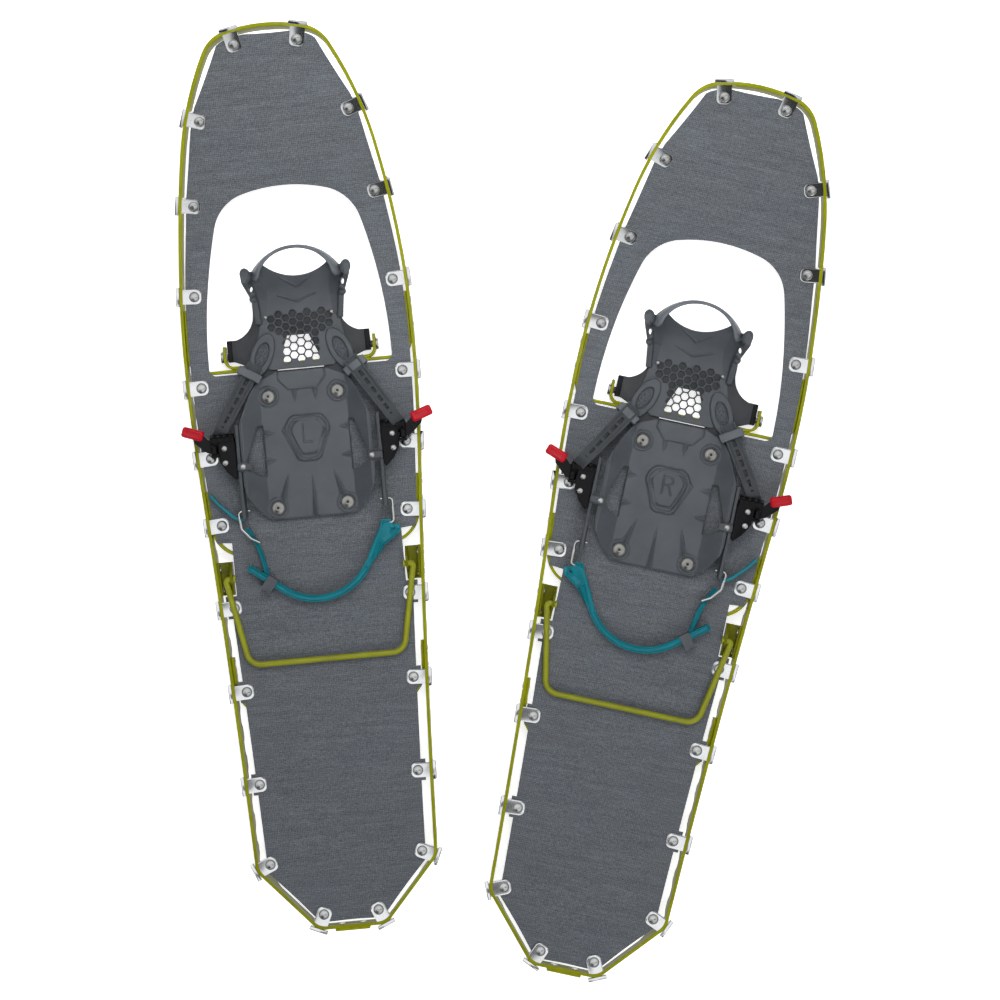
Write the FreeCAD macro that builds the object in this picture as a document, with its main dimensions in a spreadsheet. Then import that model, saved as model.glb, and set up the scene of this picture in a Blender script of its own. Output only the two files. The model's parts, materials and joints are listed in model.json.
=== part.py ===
import FreeCAD, Part
import math
import os

import Sketcher

# A pair of snowshoes, lying side by side on their frame teeth. Each shoe is drawn about its own
# binding pivot: x across, y towards the nose, z up from the ground. The right shoe is the left one
# mirrored, then turned and set beside it. The pair's origin is the middle of its box, on the ground.

Vector = FreeCAD.Vector
doc = FreeCAD.newDocument("snowshoes")
sheet = doc.addObject("Spreadsheet::Sheet", "Dims")

SIZES = (
    # where the two shoes lie
    ("pair_gap_x", 319.7, "left pivot to right pivot, across"),
    ("pair_gap_y", -76.0, "left pivot to right pivot, along"),
    ("right_turn", -17.4, "right shoe's turn about its pivot, degrees"),
    # plan outline of the frame band
    ("toe_reach", 263.6, "pivot to nose"),
    ("tail_reach", 488.0, "pivot to tail"),
    ("half_width", 97.6, "middle to the frame's widest point"),
    ("nose_radius", 136.0, "nose arc"),
    ("nose_turn", 14.0, "degrees"),
    ("shoulder_radius", 31.0, "arc beside the nose"),
    ("shoulder_turn", 46.7, "degrees"),
    ("cheek_radius", 267.0, "arc from shoulder to side"),
    ("cheek_turn", 17.7, "degrees"),
    ("hip_radius", 1400.0, "arc behind the widest point"),
    ("hip_turn", 4.0, "degrees"),
    ("flank_turn", 2.1, "how far the rear side straightens, degrees"),
    ("tail_corner_radius", 16.0, "both tail corners"),
    ("tail_corner_turn", 39.8, "degrees"),
    ("tail_side", 59.0, "slanting side of the tail"),
    # frame band in side view
    ("band_thickness", 2.6, "frame sheet"),
    ("frame_height", 24.0, "ground to the top of the frame"),
    ("tooth_depth", 7.0, "depth of the frame's teeth"),
    ("tooth_pitch", 25.0, "spacing of the frame's teeth"),
    ("tooth_tip", 8.0, "width of a tooth's tip"),
    ("tooth_root", 17.0, "width of a tooth's root"),
    ("first_tooth", 32.0, "foremost tooth"),
    ("rise_start", 50.0, "where the nose starts to rise"),
    ("rise_radius", 214.0, "arc of the rise"),
    ("rise_turn", 22.0, "slope of the nose, degrees"),
    ("splice_half", 14.5, "half length of the band's overlap at the tail"),
    # deck
    ("deck_drop", 3.0, "frame top to deck top"),
    ("deck_thickness", 1.2, "deck sheet"),
    ("deck_inset", 5.9, "frame outside to deck edge"),
    ("relief_inset", 9.8, "the same between the rear clips"),
    ("relief_margin", 9.0, "clip centre to the end of a relief"),
    ("nose_chord_front", 244.0, "where the deck leaves the nose arc"),
    ("nose_chord_rear", 205.0, "where it joins the side again"),
    ("opening_front", 137.5, "front of the toe opening"),
    ("opening_half", 77.3, "half width of the toe opening"),
    ("opening_rear", 15.5, "pivot back to the toe opening's rear edge"),
    ("notch_half", 71.6, "middle to the notch beside each lift bracket"),
    ("notch_front", -152.0, "front of that notch"),
    ("notch_rear", -201.5, "rear of that notch"),
    # clips that hold the deck in the frame
    ("nose_clip_heading", -12.0, "degrees"),
    ("corner_clip_heading", -113.0, "degrees"),
    ("tail_clip_heading", -156.0, "degrees"),
    ("clip_a", 193.0, "second clip"),
    ("clip_b", 127.0, "third clip"),
    ("clip_c", 52.6, "fourth clip"),
    ("clip_d", -24.6, "fifth clip"),
    ("clip_e", -84.3, "sixth clip"),
    ("clip_f", -141.4, "seventh clip"),
    ("clip_g", -211.7, "eighth clip"),
    ("clip_h", -282.8, "ninth clip"),
    ("clip_i", -361.5, "tenth clip"),
    ("clip_width", 12.5, "width of a clip's leaves"),
    ("clip_sheet", 1.3, "thickness of a leaf"),
    ("clip_reach", 18.2, "frame outside to a leaf's end"),
    ("clip_rivet", 12.3, "frame outside to its rivet"),
    ("clip_head", 16.0, "length of the head outside the frame"),
    ("clip_proud", 3.4, "how far that head stands out"),
    ("rivet_head", 4.2, "radius of a deck rivet's head"),
    ("rivet_dome", 1.5, "height of a rivet's head"),
    ("rivet_shank", 2.0, "radius of a rivet's shank"),
    # crossmembers
    ("rib_sheet", 2.6, "crossmember sheet"),
    ("rib_top", 19.4, "ground to a crossmember's top"),
    ("rib_root", 9.0, "ground to its tooth roots"),
    ("rib_tip", 2.0, "ground to its tooth tips"),
    ("rib_corner", 26.0, "bend at each end"),
    ("front_rib_corner", 14.0, "the same at the front"),
    ("rib_pitch", 22.0, "spacing of its teeth"),
    ("front_rib", -12.5, "front crossmember"),
    ("front_rib_arm", 42.0, "front end of its arms"),
    ("middle_rib", -168.0, "middle crossmember"),
    ("middle_rib_arm", -112.0, "front end of its arms"),
    ("rear_rib", -303.0, "rear crossmember"),
    ("rear_rib_arm", -253.0, "front end of its arms"),
    # pivot
    ("pivot_height", 16.0, "ground to the binding's axis"),
    ("pivot_radius", 3.0, "pin"),
    ("running_gap", 0.08, "clearance round a turning pin"),
    ("ear_half", 63.2, "middle to a bracket ear"),
    ("bracket_sheet", 2.4, "bracket sheet"),
    ("bracket_corner", 7.0, "its bends"),
    ("bracket_low", 8.0, "ground to its lower edge"),
    ("bracket_high", 20.0, "ground to its upper edge"),
    ("ear_front", 8.5, "pivot to the front of an ear"),
    # crampon
    ("crampon_level", 21.8, "ground to the plate's underside"),
    ("crampon_sheet", 2.5, "plate"),
    ("wing_half", 55.8, "middle to the ear at a wing's end"),
    ("wing_front", 12.8, "pivot to a wing's front edge"),
    ("wing_rear", 5.0, "pivot back to a wing's rear edge"),
    ("waist_half", 36.0, "half width at the waist"),
    ("crampon_front", 46.0, "pivot to the toe teeth"),
    ("crampon_tip", 2.5, "ground to the toe teeth's tips"),
    ("rail_inner", 22.5, "middle to a rail's inner edge"),
    ("rail_outer", 36.5, "middle to a rail's outer edge"),
    ("rail_rear", 138.0, "pivot back to the rails' ends"),
    # binding plate
    ("plate_sheet", 3.0, "moulded wall"),
    ("plate_half", 38.0, "half width of the flat floor"),
    ("plate_front", 17.0, "pivot back to its front edge"),
    ("plate_rear", 140.5, "pivot back to its rear edge"),
    ("wing_top_half", 55.5, "middle to a side wing's upper edge"),
    ("wing_rise", 15.5, "how high a side wing rises"),
    ("screw_half", 29.3, "middle to a screw"),
    ("screw_front", 37.0, "pivot back to the front screws"),
    ("screw_rear", 131.0, "pivot back to the rear screws"),
    ("screw_head", 6.0, "radius of a screw's head"),
    # toe cradle
    ("cradle_half", 33.0, "half width of its floor"),
    ("cradle_rear", 15.0, "pivot back to its rear edge"),
    ("cradle_bend", 33.0, "where its floor starts to rise"),
    ("cradle_bend_radius", 38.0, "arc of that rise"),
    ("cradle_slope", 38.0, "degrees"),
    ("cradle_front", 73.0, "its front corners"),
    ("cradle_dip", 11.5, "how deep its front edge curves in"),
    ("cradle_lean", 2.7, "how it leans towards the other foot, degrees"),
    ("cradle_shift", 2.0, "how far it sits towards the other foot"),
    ("horn_sheet", 4.6, "thickness of a horn"),
    ("cell_pitch", 7.0, "spacing of the honeycomb"),
    ("cell_across", 5.8, "width of a cell across flats"),
    ("horn_top", 59.0, "ground to the top of a horn"),
    # straps, arms and buckles
    ("toe_strap_half", 38.6, "half width of the toe strap"),
    ("toe_strap_end", 61.0, "pivot to its ends"),
    ("toe_strap_apex", 86.0, "pivot to the front of the toe strap"),
    ("toe_strap_sheet", 2.8, "its thickness"),
    ("toe_strap_width", 15.0, "its width"),
    ("instep_length", 64.0, "ladder strap, cradle to buckle"),
    ("instep_width", 13.0, "its width"),
    ("instep_sheet", 2.6, "its thickness"),
    ("upper_shift", 2.0, "how far arms and buckles sit towards the other foot"),
    ("arm_half", 59.4, "middle to a side arm"),
    ("arm_sheet", 3.0, "its thickness"),
    ("arm_low", 27.8, "ground to its lower edge"),
    ("arm_height", 12.5, "its width"),
    ("arm_front", 58.5, "pivot back to its front end"),
    ("arm_rear", 138.0, "pivot back to its rear end"),
    ("buckle_low", 31.0, "ground to a buckle's underside"),
    ("buckle_height", 12.0, "its height"),
    ("buckle_width", 14.2, "its width"),
    ("lever_axis", 79.2, "middle to a lever's axis"),
    ("lever_level", 38.0, "ground to a lever's axis"),
    ("lever_hub", 3.4, "radius of a lever's hub"),
    ("lever_pin", 1.6, "radius of its pin"),
    ("grip_length", 19.6, "length of a grip"),
    ("grip_width", 10.4, "its width"),
    ("grip_height", 9.8, "its height"),
    ("grip_edge", 1.6, "its chamfers"),
    ("grip_out", 16.8, "lever axis to a grip's middle, across"),
    ("grip_behind", 63.0, "toe axis to a grip's middle, along"),
    ("grip_turn", 20.0, "angle of a grip across the shoe"),
    # heel strap
    ("heel_level", 22.0, "ground to the heel strap's lower edge"),
    ("heel_sheet", 4.4, "its thickness"),
    ("heel_width", 11.0, "its width"),
    ("heel_radius", 48.5, "its curve round the heel"),
    ("heel_turn", 94.0, "degrees"),
    ("heel_side", 40.0, "its straight side beyond the eyelet"),
    ("thin_sheet", 2.6, "thickness of its thin end"),
    ("thin_width", 6.0, "width of that end"),
    ("hook_level", 31.2, "ground to the wire hooks"),
    ("hook_wire", 1.1, "radius of their wire"),
    ("hook_axis", 131.0, "pivot back to the hooks' axis"),
    ("hook_reach", 20.5, "that axis to the strap"),
    ("hook_half", 64.6, "middle to a hook's side"),
    # heel lift
    ("bail_wire", 2.5, "radius of the lift wire"),
    ("bail_level", 26.9, "ground to its axis"),
    ("bail_axis", -187.0, "lift pivot"),
    ("bail_half", 79.2, "middle to a leg at the pivot"),
    ("bail_bar_half", 65.0, "middle to a leg at the bar"),
    ("bail_bar", -260.5, "its bar"),
    ("bail_corner", 12.0, "its corners"),
    ("lift_plate", 2.0, "bracket sheet"),
    ("lift_front", -172.5, "bracket's front end"),
    ("lift_rear", -200.5, "bracket's rear end"),
    ("lift_low", 12.0, "ground to the bracket's web"),
    ("lift_high", 30.5, "ground to its top"),
)

for row, (alias, value, note) in enumerate(SIZES, 1):
    sheet.set(f"A{row}", note)
    sheet.set(f"B{row}", str(value))
    sheet.setAlias(f"B{row}", alias)
doc.recompute()

MARGIN = 20.0
INSTEP_SHIFT = (2.0, 0.5)
ENDS = ("nose_clip_heading", "corner_clip_heading", "tail_clip_heading")
SIDE_CLIPS = ("clip_a", "clip_b", "clip_c", "clip_d", "clip_e", "clip_f", "clip_g", "clip_h", "clip_i")


def size(alias):
    """A driving size from the sheet."""
    return float(sheet.get(alias))


def sind(angle):
    return math.sin(math.radians(angle))


def cosd(angle):
    return math.cos(math.radians(angle))


def tand(angle):
    return math.tan(math.radians(angle))


class Trace:
    """A path of tangent lines and arcs in a plane; a side of it is that far to its left."""

    def __init__(self, x, y, heading):
        self.x = x
        self.y = y
        self.heading = heading
        self.steps = []

    def line(self, length):
        self.steps.append((self.x, self.y, self.heading, length, 0.0, 0.0))
        self.x += length * cosd(self.heading)
        self.y += length * sind(self.heading)
        return self

    def arc(self, radius, turn):
        way = math.copysign(1.0, turn)
        self.steps.append((self.x, self.y, self.heading, 0.0, radius, turn))
        self.x -= way * radius * (sind(self.heading) - sind(self.heading + turn))
        self.y += way * radius * (cosd(self.heading) - cosd(self.heading + turn))
        self.heading += turn
        return self

    def spot(self, step, part, side):
        """The point a part of the way along one step, and the heading there."""
        x, y, heading, length, radius, turn = step
        if not turn:
            x += part * length * cosd(heading)
            y += part * length * sind(heading)
            return x - side * sind(heading), y + side * cosd(heading), heading
        way = math.copysign(1.0, turn)
        reach = way * radius - side
        there = heading + part * turn
        centre_x = x - way * radius * sind(heading)
        centre_y = y + way * radius * cosd(heading)
        return centre_x + reach * sind(there), centre_y - reach * cosd(there), there

    def edges(self, side=0.0):
        result = []
        for step in self.steps:
            start, middle, end = (Vector(*self.spot(step, part, side)[:2], 0) for part in (0, 0.5, 1))
            if step[5]:
                result.append(Part.Arc(start, middle, end).toShape())
            else:
                result.append(Part.LineSegment(start, end).toShape())
        return result

    def at_y(self, y, side=0.0):
        """Where a path that runs down the page crosses y: x and heading."""
        for step in self.steps:
            low, high = 0.0, 1.0
            if not self.spot(step, high, side)[1] <= y <= self.spot(step, low, side)[1]:
                continue
            for _ in range(50):
                middle = (low + high) / 2
                if self.spot(step, middle, side)[1] > y:
                    low = middle
                else:
                    high = middle
            x, _, heading = self.spot(step, low, side)
            return x, heading
        raise ValueError(f"the path doesn't reach y = {y}")

    def at_heading(self, heading):
        """The first point whose heading is this."""
        for step in self.steps:
            if step[5] and min(0, step[5]) <= heading - step[2] <= max(0, step[5]):
                return self.spot(step, (heading - step[2]) / step[5], 0.0)
        raise ValueError(f"the path never heads {heading}")


def route(points, radius):
    """A path through points, each inner corner rounded to the radius."""
    headings = []
    for (x0, y0), (x1, y1) in zip(points, points[1:]):
        headings.append(math.degrees(math.atan2(y1 - y0, x1 - x0)))
    path = Trace(*points[0], headings[0])
    spent = 0.0
    for index, heading in enumerate(headings):
        length = math.dist(points[index], points[index + 1]) - spent
        if index + 1 < len(headings):
            turn = (headings[index + 1] - heading + 180) % 360 - 180
            spent = abs(radius * tand(turn / 2))
            path.line(length - spent)
            path.arc(radius, turn)
        else:
            path.line(length)
    return path


def closed(edges):
    return Part.Wire(Part.__sortEdges__(edges))


def cap(first, last):
    return Part.LineSegment(first, last).toShape()


def strip(path, half, other=None):
    """The flat face between two sides of a path."""
    other = -half if other is None else other
    left = path.edges(half)
    right = path.edges(other)
    starts = (left[0].Vertexes[0].Point, right[0].Vertexes[0].Point)
    ends = (left[-1].Vertexes[-1].Point, right[-1].Vertexes[-1].Point)
    return Part.Face(closed(left + right + [cap(*starts), cap(*ends)]))


def polygon(points):
    """A flat face from corner points in its plane."""
    corners = [Vector(x, y, 0) for x, y in points]
    return Part.Face(Part.makePolygon(corners + corners[:1]))


def both(points):
    """Corner points on the +x side, and their mirror images in reverse order."""
    return list(points) + [(-x, y) for x, y in reversed(points)]


SIDE_VIEW = FreeCAD.Rotation(Vector(0, 1, 0), Vector(0, 0, 1), Vector(1, 0, 0), "ZXY")
FRONT_VIEW = FreeCAD.Rotation(Vector(-1, 0, 0), Vector(0, 0, 1), Vector(0, 1, 0), "ZXY")
LEVEL = FreeCAD.Rotation()


def drawn(name, face, view=LEVEL, at=(0, 0, 0)):
    """A flat face as an object, drawn level, in side view (y, z) or in front view (-x, z)."""
    item = doc.addObject("Part::Feature", name)
    item.Shape = face
    item.Placement = FreeCAD.Placement(Vector(*at), view)
    return item


def bind(item, name, value):
    """Set a property from a number, or tie it to the sheet with an expression."""
    if isinstance(value, str):
        item.setExpression(name, value)
    else:
        setattr(item, name, value)


def pushed(name, base, way, length, symmetric=False):
    """A face pushed along a direction into a solid."""
    item = doc.addObject("Part::Extrusion", name)
    item.Base = base
    item.DirMode = "Custom"
    item.Dir = Vector(*way)
    item.Solid = True
    item.Symmetric = symmetric
    bind(item, "LengthFwd", length)
    return item


def box(name, corner, extent, place=None):
    """A block; corner and extent are numbers or sheet expressions."""
    item = doc.addObject("Part::Box", name)
    for prop, value in zip(("Length", "Width", "Height"), extent):
        bind(item, prop, value)
    if place:
        item.Placement = place
        return item
    for axis, value in zip("xyz", corner):
        if isinstance(value, str):
            item.setExpression(f"Placement.Base.{axis}", value)
        else:
            setattr(item.Placement.Base, axis, value)
    return item


ALONG_X = FreeCAD.Rotation(Vector(0, 1, 0), 90)
ALONG_Y = FreeCAD.Rotation(Vector(1, 0, 0), -90)


def rod(name, start, radius, length, turn=ALONG_X):
    """A round bar from a start point, along +x unless it is turned."""
    item = doc.addObject("Part::Cylinder", name)
    item.Placement = FreeCAD.Placement(Vector(*start), turn)
    bind(item, "Radius", radius)
    bind(item, "Height", length)
    return item


def cut(name, base, tool):
    item = doc.addObject("Part::Cut", name)
    item.Base = base
    item.Tool = tool
    return item


def common(name, *shapes):
    item = doc.addObject("Part::MultiCommon", name)
    item.Shapes = list(shapes)
    return item


def fused(name, *shapes):
    item = doc.addObject("Part::MultiFuse", name)
    item.Shapes = list(shapes)
    item.Refine = True
    return item


def mirrored(name, source):
    item = doc.addObject("Part::Mirroring", name)
    item.Source = source
    item.Normal = Vector(1, 0, 0)
    return item


def group(name, *items):
    item = doc.addObject("Part::Compound", name)
    item.Links = list(items)
    return item


def pair(name, item, shift=(0, 0)):
    """A piece and its mirror image across the shoe's middle, both shifted."""
    twin = mirrored(f"{name}_twin", item)
    whole = group(name, item, twin)
    whole.Placement.Base = Vector(*shift, 0)
    return whole


def body_plane(body, role):
    return next(item for item in body.Origin.OriginFeatures if item.Role == role)


def sketched(body, name, role, points, offset=0.0):
    """A closed polygon sketch on one of a body's own planes; points are numbers or sheet names."""
    sketch = body.newObject("Sketcher::SketchObject", name)
    sketch.AttachmentSupport = [(body_plane(body, role), "")]
    sketch.MapMode = "FlatFace"
    sketch.AttachmentOffset = FreeCAD.Placement(Vector(0, 0, offset), LEVEL)
    spots = []
    for point in points:
        values = []
        for value in point:
            if isinstance(value, str):
                alias = value.lstrip("-")
                values.append(-size(alias) if value.startswith("-") else size(alias))
            else:
                values.append(value)
        spots.append(Vector(*values, 0))
    count = len(spots)
    for index, spot in enumerate(spots):
        sketch.addGeometry(Part.LineSegment(spot, spots[(index + 1) % count]), False)
    for index in range(count):
        sketch.addConstraint(Sketcher.Constraint("Coincident", index, 2, (index + 1) % count, 1))
    for index, point in enumerate(points):
        for kind, value, number in zip(("DistanceX", "DistanceY"), point, spots[index]):
            held = sketch.addConstraint(Sketcher.Constraint(kind, -1, 1, index, 1, number))
            if isinstance(value, str):
                tied = value.replace("-", "-Dims.") if value.startswith("-") else f"Dims.{value}"
                sketch.setExpression(f"Constraints[{held}]", tied)
    return sketch


def padded(body, name, sketch, length, reverse=False):
    pad = body.newObject("PartDesign::Pad", name)
    pad.Profile = sketch
    pad.Reversed = reverse
    bind(pad, "Length", length)
    return pad


# ---------------------------------------------------------------- frame outline and side view


def make_outline():
    """Half of the frame's plan, down its +x side from the nose to the tail."""
    path = Trace(0, size("toe_reach"), 0)
    path.arc(size("nose_radius"), -size("nose_turn"))
    path.arc(size("shoulder_radius"), -size("shoulder_turn"))
    path.arc(size("cheek_radius"), -size("cheek_turn"))
    left = 90 + path.heading
    path.arc((size("half_width") - path.x) / (1 - cosd(left)), -left)
    path.arc(size("hip_radius"), -size("hip_turn"))
    flank = size("hip_turn") - size("flank_turn")
    tail = Trace(0, 0, -90 - flank)
    corner = size("tail_corner_radius")
    steps = (
        ("arc", corner, -size("tail_corner_turn")),
        ("line", size("tail_side")),
        ("arc", corner, size("tail_corner_turn") + flank - 90),
    )
    for kind, *numbers in steps:
        getattr(tail, kind)(*numbers)
    drop = path.y + size("tail_reach") + tail.y
    path.arc(drop / (sind(size("hip_turn")) - sind(flank)), size("flank_turn"))
    for kind, *numbers in steps:
        getattr(path, kind)(*numbers)
    return path.line(path.x)


outline = make_outline()


def plan(inset):
    """The whole frame outline, moved in by an inset, as a closed wire."""
    half = outline.edges(-inset)
    other = [edge.mirror(Vector(), Vector(1, 0, 0)) for edge in half]
    return closed(half + other)


def make_profile():
    """The frame's top line in side view, from behind the tail to beyond the nose."""
    start = -size("tail_reach") - MARGIN
    path = Trace(start, size("frame_height"), 0)
    path.line(size("rise_start") - start)
    path.arc(size("rise_radius"), size("rise_turn"))
    return path.line((size("toe_reach") + MARGIN - path.x) / cosd(path.heading))


profile = make_profile()


def deck_spot(y):
    """Height of the deck's top at y, and its slope."""
    bend = size("rise_start")
    radius = size("rise_radius") + size("deck_drop")
    slope = size("rise_turn")
    base = size("frame_height") - size("deck_drop")
    if y <= bend:
        return base, 0.0
    if y < bend + radius * sind(slope):
        angle = math.degrees(math.asin((y - bend) / radius))
        return base + radius * (1 - cosd(angle)), angle
    run = y - bend - radius * sind(slope)
    return base + radius * (1 - cosd(slope)) + run * tand(slope), slope


def zigzag(first, last, pitch, root, tip, high, low):
    """Trapezoid teeth along a line, as points from first to last."""
    way = math.copysign(1.0, last - first)
    points = []
    for number in range(int(abs(last - first) / pitch + 1e-6) + 1):
        middle = first + way * number * pitch
        for offset, level in ((-root / 2, high), (-tip / 2, low), (tip / 2, low), (root / 2, high)):
            points.append((middle + way * offset, level))
    return points


TALL = profile.y + MARGIN
WIDE = 2 * (size("half_width") + MARGIN)


def clip_places():
    """Each +x clip's place: its frame of axes at the frame's outer face, level with the deck."""
    spots = [outline.at_heading(size(alias)) for alias in ENDS]
    inset = size("clip_rivet")
    for alias in SIDE_CLIPS:
        x, heading = outline.at_y(size(alias), -inset)
        spots.append((x - inset * sind(heading), size(alias) + inset * cosd(heading), heading))
    places = []
    for x, y, heading in spots:
        level, slope = deck_spot(y)
        normal = Vector(0, -sind(slope), cosd(slope))
        inward = Vector(sind(heading), -cosd(heading), -cosd(heading) * tand(slope)).normalize()
        turn = FreeCAD.Rotation(inward, normal.cross(inward), normal, "ZXY")
        places.append(FreeCAD.Placement(Vector(x, y, level), turn))
    return places


def at_clips(name, shape):
    """Copies of a shape at every clip, on both sides."""
    copies = []
    for place in clip_places():
        copy = shape.copy()
        copy.Placement = place.multiply(copy.Placement)
        copies += [copy, copy.mirror(Vector(), Vector(1, 0, 0))]
    item = doc.addObject("Part::Feature", name)
    item.Shape = Part.makeCompound(copies)
    return item


def make_frame():
    """Sheet band on edge, toothed below, its ends overlapping at the tail, with a slot per clip."""
    band = Part.makeFace([plan(0), plan(size("band_thickness"))], "Part::FaceMakerBullseye")
    ring = pushed("frame_ring", drawn("frame_plan", band), (0, 0, 1), TALL)
    root = size("tooth_depth")
    top = profile.edges()
    low = profile.edges(root - size("frame_height"))[1:]
    bend = low[0].Vertexes[0].Point
    teeth = zigzag(size("first_tooth"), 30 - size("tail_reach"), size("tooth_pitch"),
                   size("tooth_root"), size("tooth_tip"), root, 0)
    start = profile.steps[0][0]
    corners = [Vector(x, y, 0) for x, y in teeth] + [Vector(start, root, 0)]
    corners = [bend] + corners + [top[0].Vertexes[0].Point]
    teeth_line = [cap(*ends) for ends in zip(corners, corners[1:])]
    nose = cap(top[-1].Vertexes[-1].Point, low[-1].Vertexes[-1].Point)
    side = Part.Face(closed(top + [nose] + low + teeth_line))
    view = drawn("frame_side", side, SIDE_VIEW)
    band = common("frame_band", ring, pushed("frame_slab", view, (1, 0, 0), WIDE, True))
    neck = size("clip_width") + 0.6
    slot = Part.makeBox(8, neck, 3 * size("clip_sheet") + 1.5, Vector(-2, -neck / 2, -3.1))
    slotted = cut("frame_slotted", band, at_clips("frame_slots", slot))
    splice = box("frame_splice", ("-Dims.splice_half", "-Dims.tail_reach - 2.4", "Dims.tooth_depth + 1"),
                 ("2 * Dims.splice_half", 3.0, "Dims.frame_height - Dims.tooth_depth - 2"))
    return fused("frame", slotted, splice)


def toe_opening():
    """The opening in the deck that the toe turns down through."""
    path = Trace(0, size("opening_front"), 0)
    path.arc(132, -15.8).arc(36.9, -58.4)
    left = 90 + path.heading
    path.arc((size("opening_half") - path.x) / (1 - cosd(left)), -left)
    corner = 6.0
    path.line(path.y + size("opening_rear") - corner).arc(corner, -90).line(path.x)
    half = path.edges()
    return Part.Face(closed(half + [edge.mirror(Vector(), Vector(1, 0, 0)) for edge in half]))


def make_deck():
    """Fabric-faced sheet, open at the toe, relieved between the rear clips and beside the lift."""
    face = Part.Face(plan(size("deck_inset")))
    rim = face.cut(Part.Face(plan(size("relief_inset"))))
    margin = size("relief_margin")
    ends = [size(alias) for alias in SIDE_CLIPS[6:]]
    corner = outline.at_heading(size("corner_clip_heading"))[1]
    for front, rear in zip(ends, ends[1:] + [corner - 3.0]):
        gap = polygon(both([(WIDE, front - margin), (WIDE, rear + margin)]))
        face = face.cut(rim.common(gap))
    rim = -size("deck_inset")
    chord = []
    for alias in ("nose_chord_front", "nose_chord_rear"):
        chord.append((outline.at_y(size(alias), rim)[0], size(alias)))
    nose = polygon(chord + [(WIDE, size("nose_chord_rear")), (WIDE, size("toe_reach"))])
    face = face.cut(nose).cut(nose.mirror(Vector(), Vector(1, 0, 0)))
    half, front, rear = size("notch_half"), size("notch_front"), size("notch_rear")
    notch = polygon([(half, front - 5), (WIDE, front + 10), (WIDE, rear), (half, rear)])
    face = face.cut(notch).cut(notch.mirror(Vector(), Vector(1, 0, 0))).cut(toe_opening())
    slab = pushed("deck_slab", drawn("deck_plan", face), (0, 0, 1), TALL)
    top = -size("deck_drop")
    view = drawn("deck_side", strip(profile, top, top - size("deck_thickness")), SIDE_VIEW)
    return common("deck", slab, pushed("deck_sheet", view, (1, 0, 0), WIDE, True))


def leaf(level):
    """One leaf of a clip, with a rounded end."""
    half, reach, sheet_size = size("clip_width") / 2, size("clip_reach"), size("clip_sheet")
    block = Part.makeBox(reach, 2 * half, sheet_size, Vector(0, -half, level))
    corners = [edge for edge in block.Edges if edge.CenterOfMass.x > reach - 0.1
               and abs(edge.CenterOfMass.y) > half - 0.1]
    return block.makeFillet(4.5, corners)


def make_deck_clips():
    """Metal clips: a leaf above and below the deck, a neck through the frame, a head outside."""
    sheet_size, half = size("clip_sheet"), size("clip_width") / 2
    low = -size("deck_thickness") - sheet_size - 0.1
    high = sheet_size + 0.1
    neck_end = size("band_thickness") + 1.4
    neck = Part.makeBox(neck_end, 2 * half, high - low, Vector(0, -half, low))
    head_half, proud = size("clip_head") / 2, size("clip_proud")
    head = Part.makeBox(proud - 0.2, 2 * head_half, high - low + 2, Vector(-proud, -head_half, low - 1))
    head = head.makeFillet(1.2, [edge for edge in head.Edges if edge.CenterOfMass.x < 0.3 - proud])
    bridge = Part.makeBox(0.3, 2 * half, high - low, Vector(-0.25, -half, low))
    clip = neck.multiFuse([leaf(0.1), leaf(low), bridge, head])
    clip = clip.removeSplitter()
    return at_clips("deck_clips", clip)


def domed_rivet(head, dome, shank, length):
    """A rivet whose head stands on z = 0 and whose shank goes down to its set end."""
    sphere = (head * head + dome * dome) / (2 * dome)
    ball = Part.makeSphere(sphere, Vector(0, 0, dome - sphere))
    top = ball.common(Part.makeCylinder(head, 0.97 * dome))
    pin = Part.makeCylinder(shank, length + 0.2, Vector(0, 0, -length))
    foot = Part.makeCylinder(1.5 * shank, 0.9, Vector(0, 0, -length - 0.7))
    return top.multiFuse([pin, foot]).removeSplitter()


def make_deck_rivets():
    """One domed rivet through each clip and the deck."""
    stack = size("deck_thickness") + 2 * size("clip_sheet") + 0.3
    rivet = domed_rivet(size("rivet_head"), size("rivet_dome"), size("rivet_shank"), stack)
    rivet.translate(Vector(size("clip_rivet"), 0, size("clip_sheet") + 0.15))
    holder = Part.makeCompound([rivet])
    return at_clips("deck_rivets", holder.Solids[0])


# ---------------------------------------------------------------- crossmembers and their rivets


def rib_inset():
    """Frame outside to the middle of a crossmember's sheet."""
    return size("band_thickness") + size("rib_sheet") / 2 + 0.1


def rib_route(bar, arm, corner):
    """A crossmember's path: back along one side of the frame, across, and forward again."""
    inset = rib_inset()
    near = bar + corner
    x_arm = outline.at_y(arm, -inset)[0]
    x_near = outline.at_y(near, -inset)[0]
    x_bar = x_near + (x_near - x_arm) * (near - bar) / (arm - near)
    return route(both([(x_arm, arm), (x_bar, bar)]), corner)


def make_rib(name, bar, arm, corner="rib_corner"):
    """Sheet crossmember on edge, bent forward at both ends along the frame, toothed below."""
    path = rib_route(size(bar), size(arm), size(corner))
    half = size("rib_sheet") / 2
    blank = pushed(f"{name}_blank", drawn(f"{name}_plan", strip(path, half)), (0, 0, 1), TALL)
    high, root, tip = size("rib_top"), size("rib_root"), size("rib_tip")
    teeth = 2 * size("rib_pitch")
    points = zigzag(-teeth, teeth, size("rib_pitch"), 15, 5, root, tip)
    face = polygon([(-WIDE / 2, high), (-WIDE / 2, root)] + points + [(WIDE / 2, root), (WIDE / 2, high)])
    view = drawn(f"{name}_front", face, FRONT_VIEW)
    slab = pushed(f"{name}_slab", view, (0, 1, 0), 2 * size("tail_reach"), True)
    half = size("clip_width") / 2 + 0.5
    notch = Part.makeBox(20, 2 * half, 4, Vector(2, -half, -3.1))
    return cut(name, common(f"{name}_bent", blank, slab), at_clips(f"{name}_notches", notch))


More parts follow.
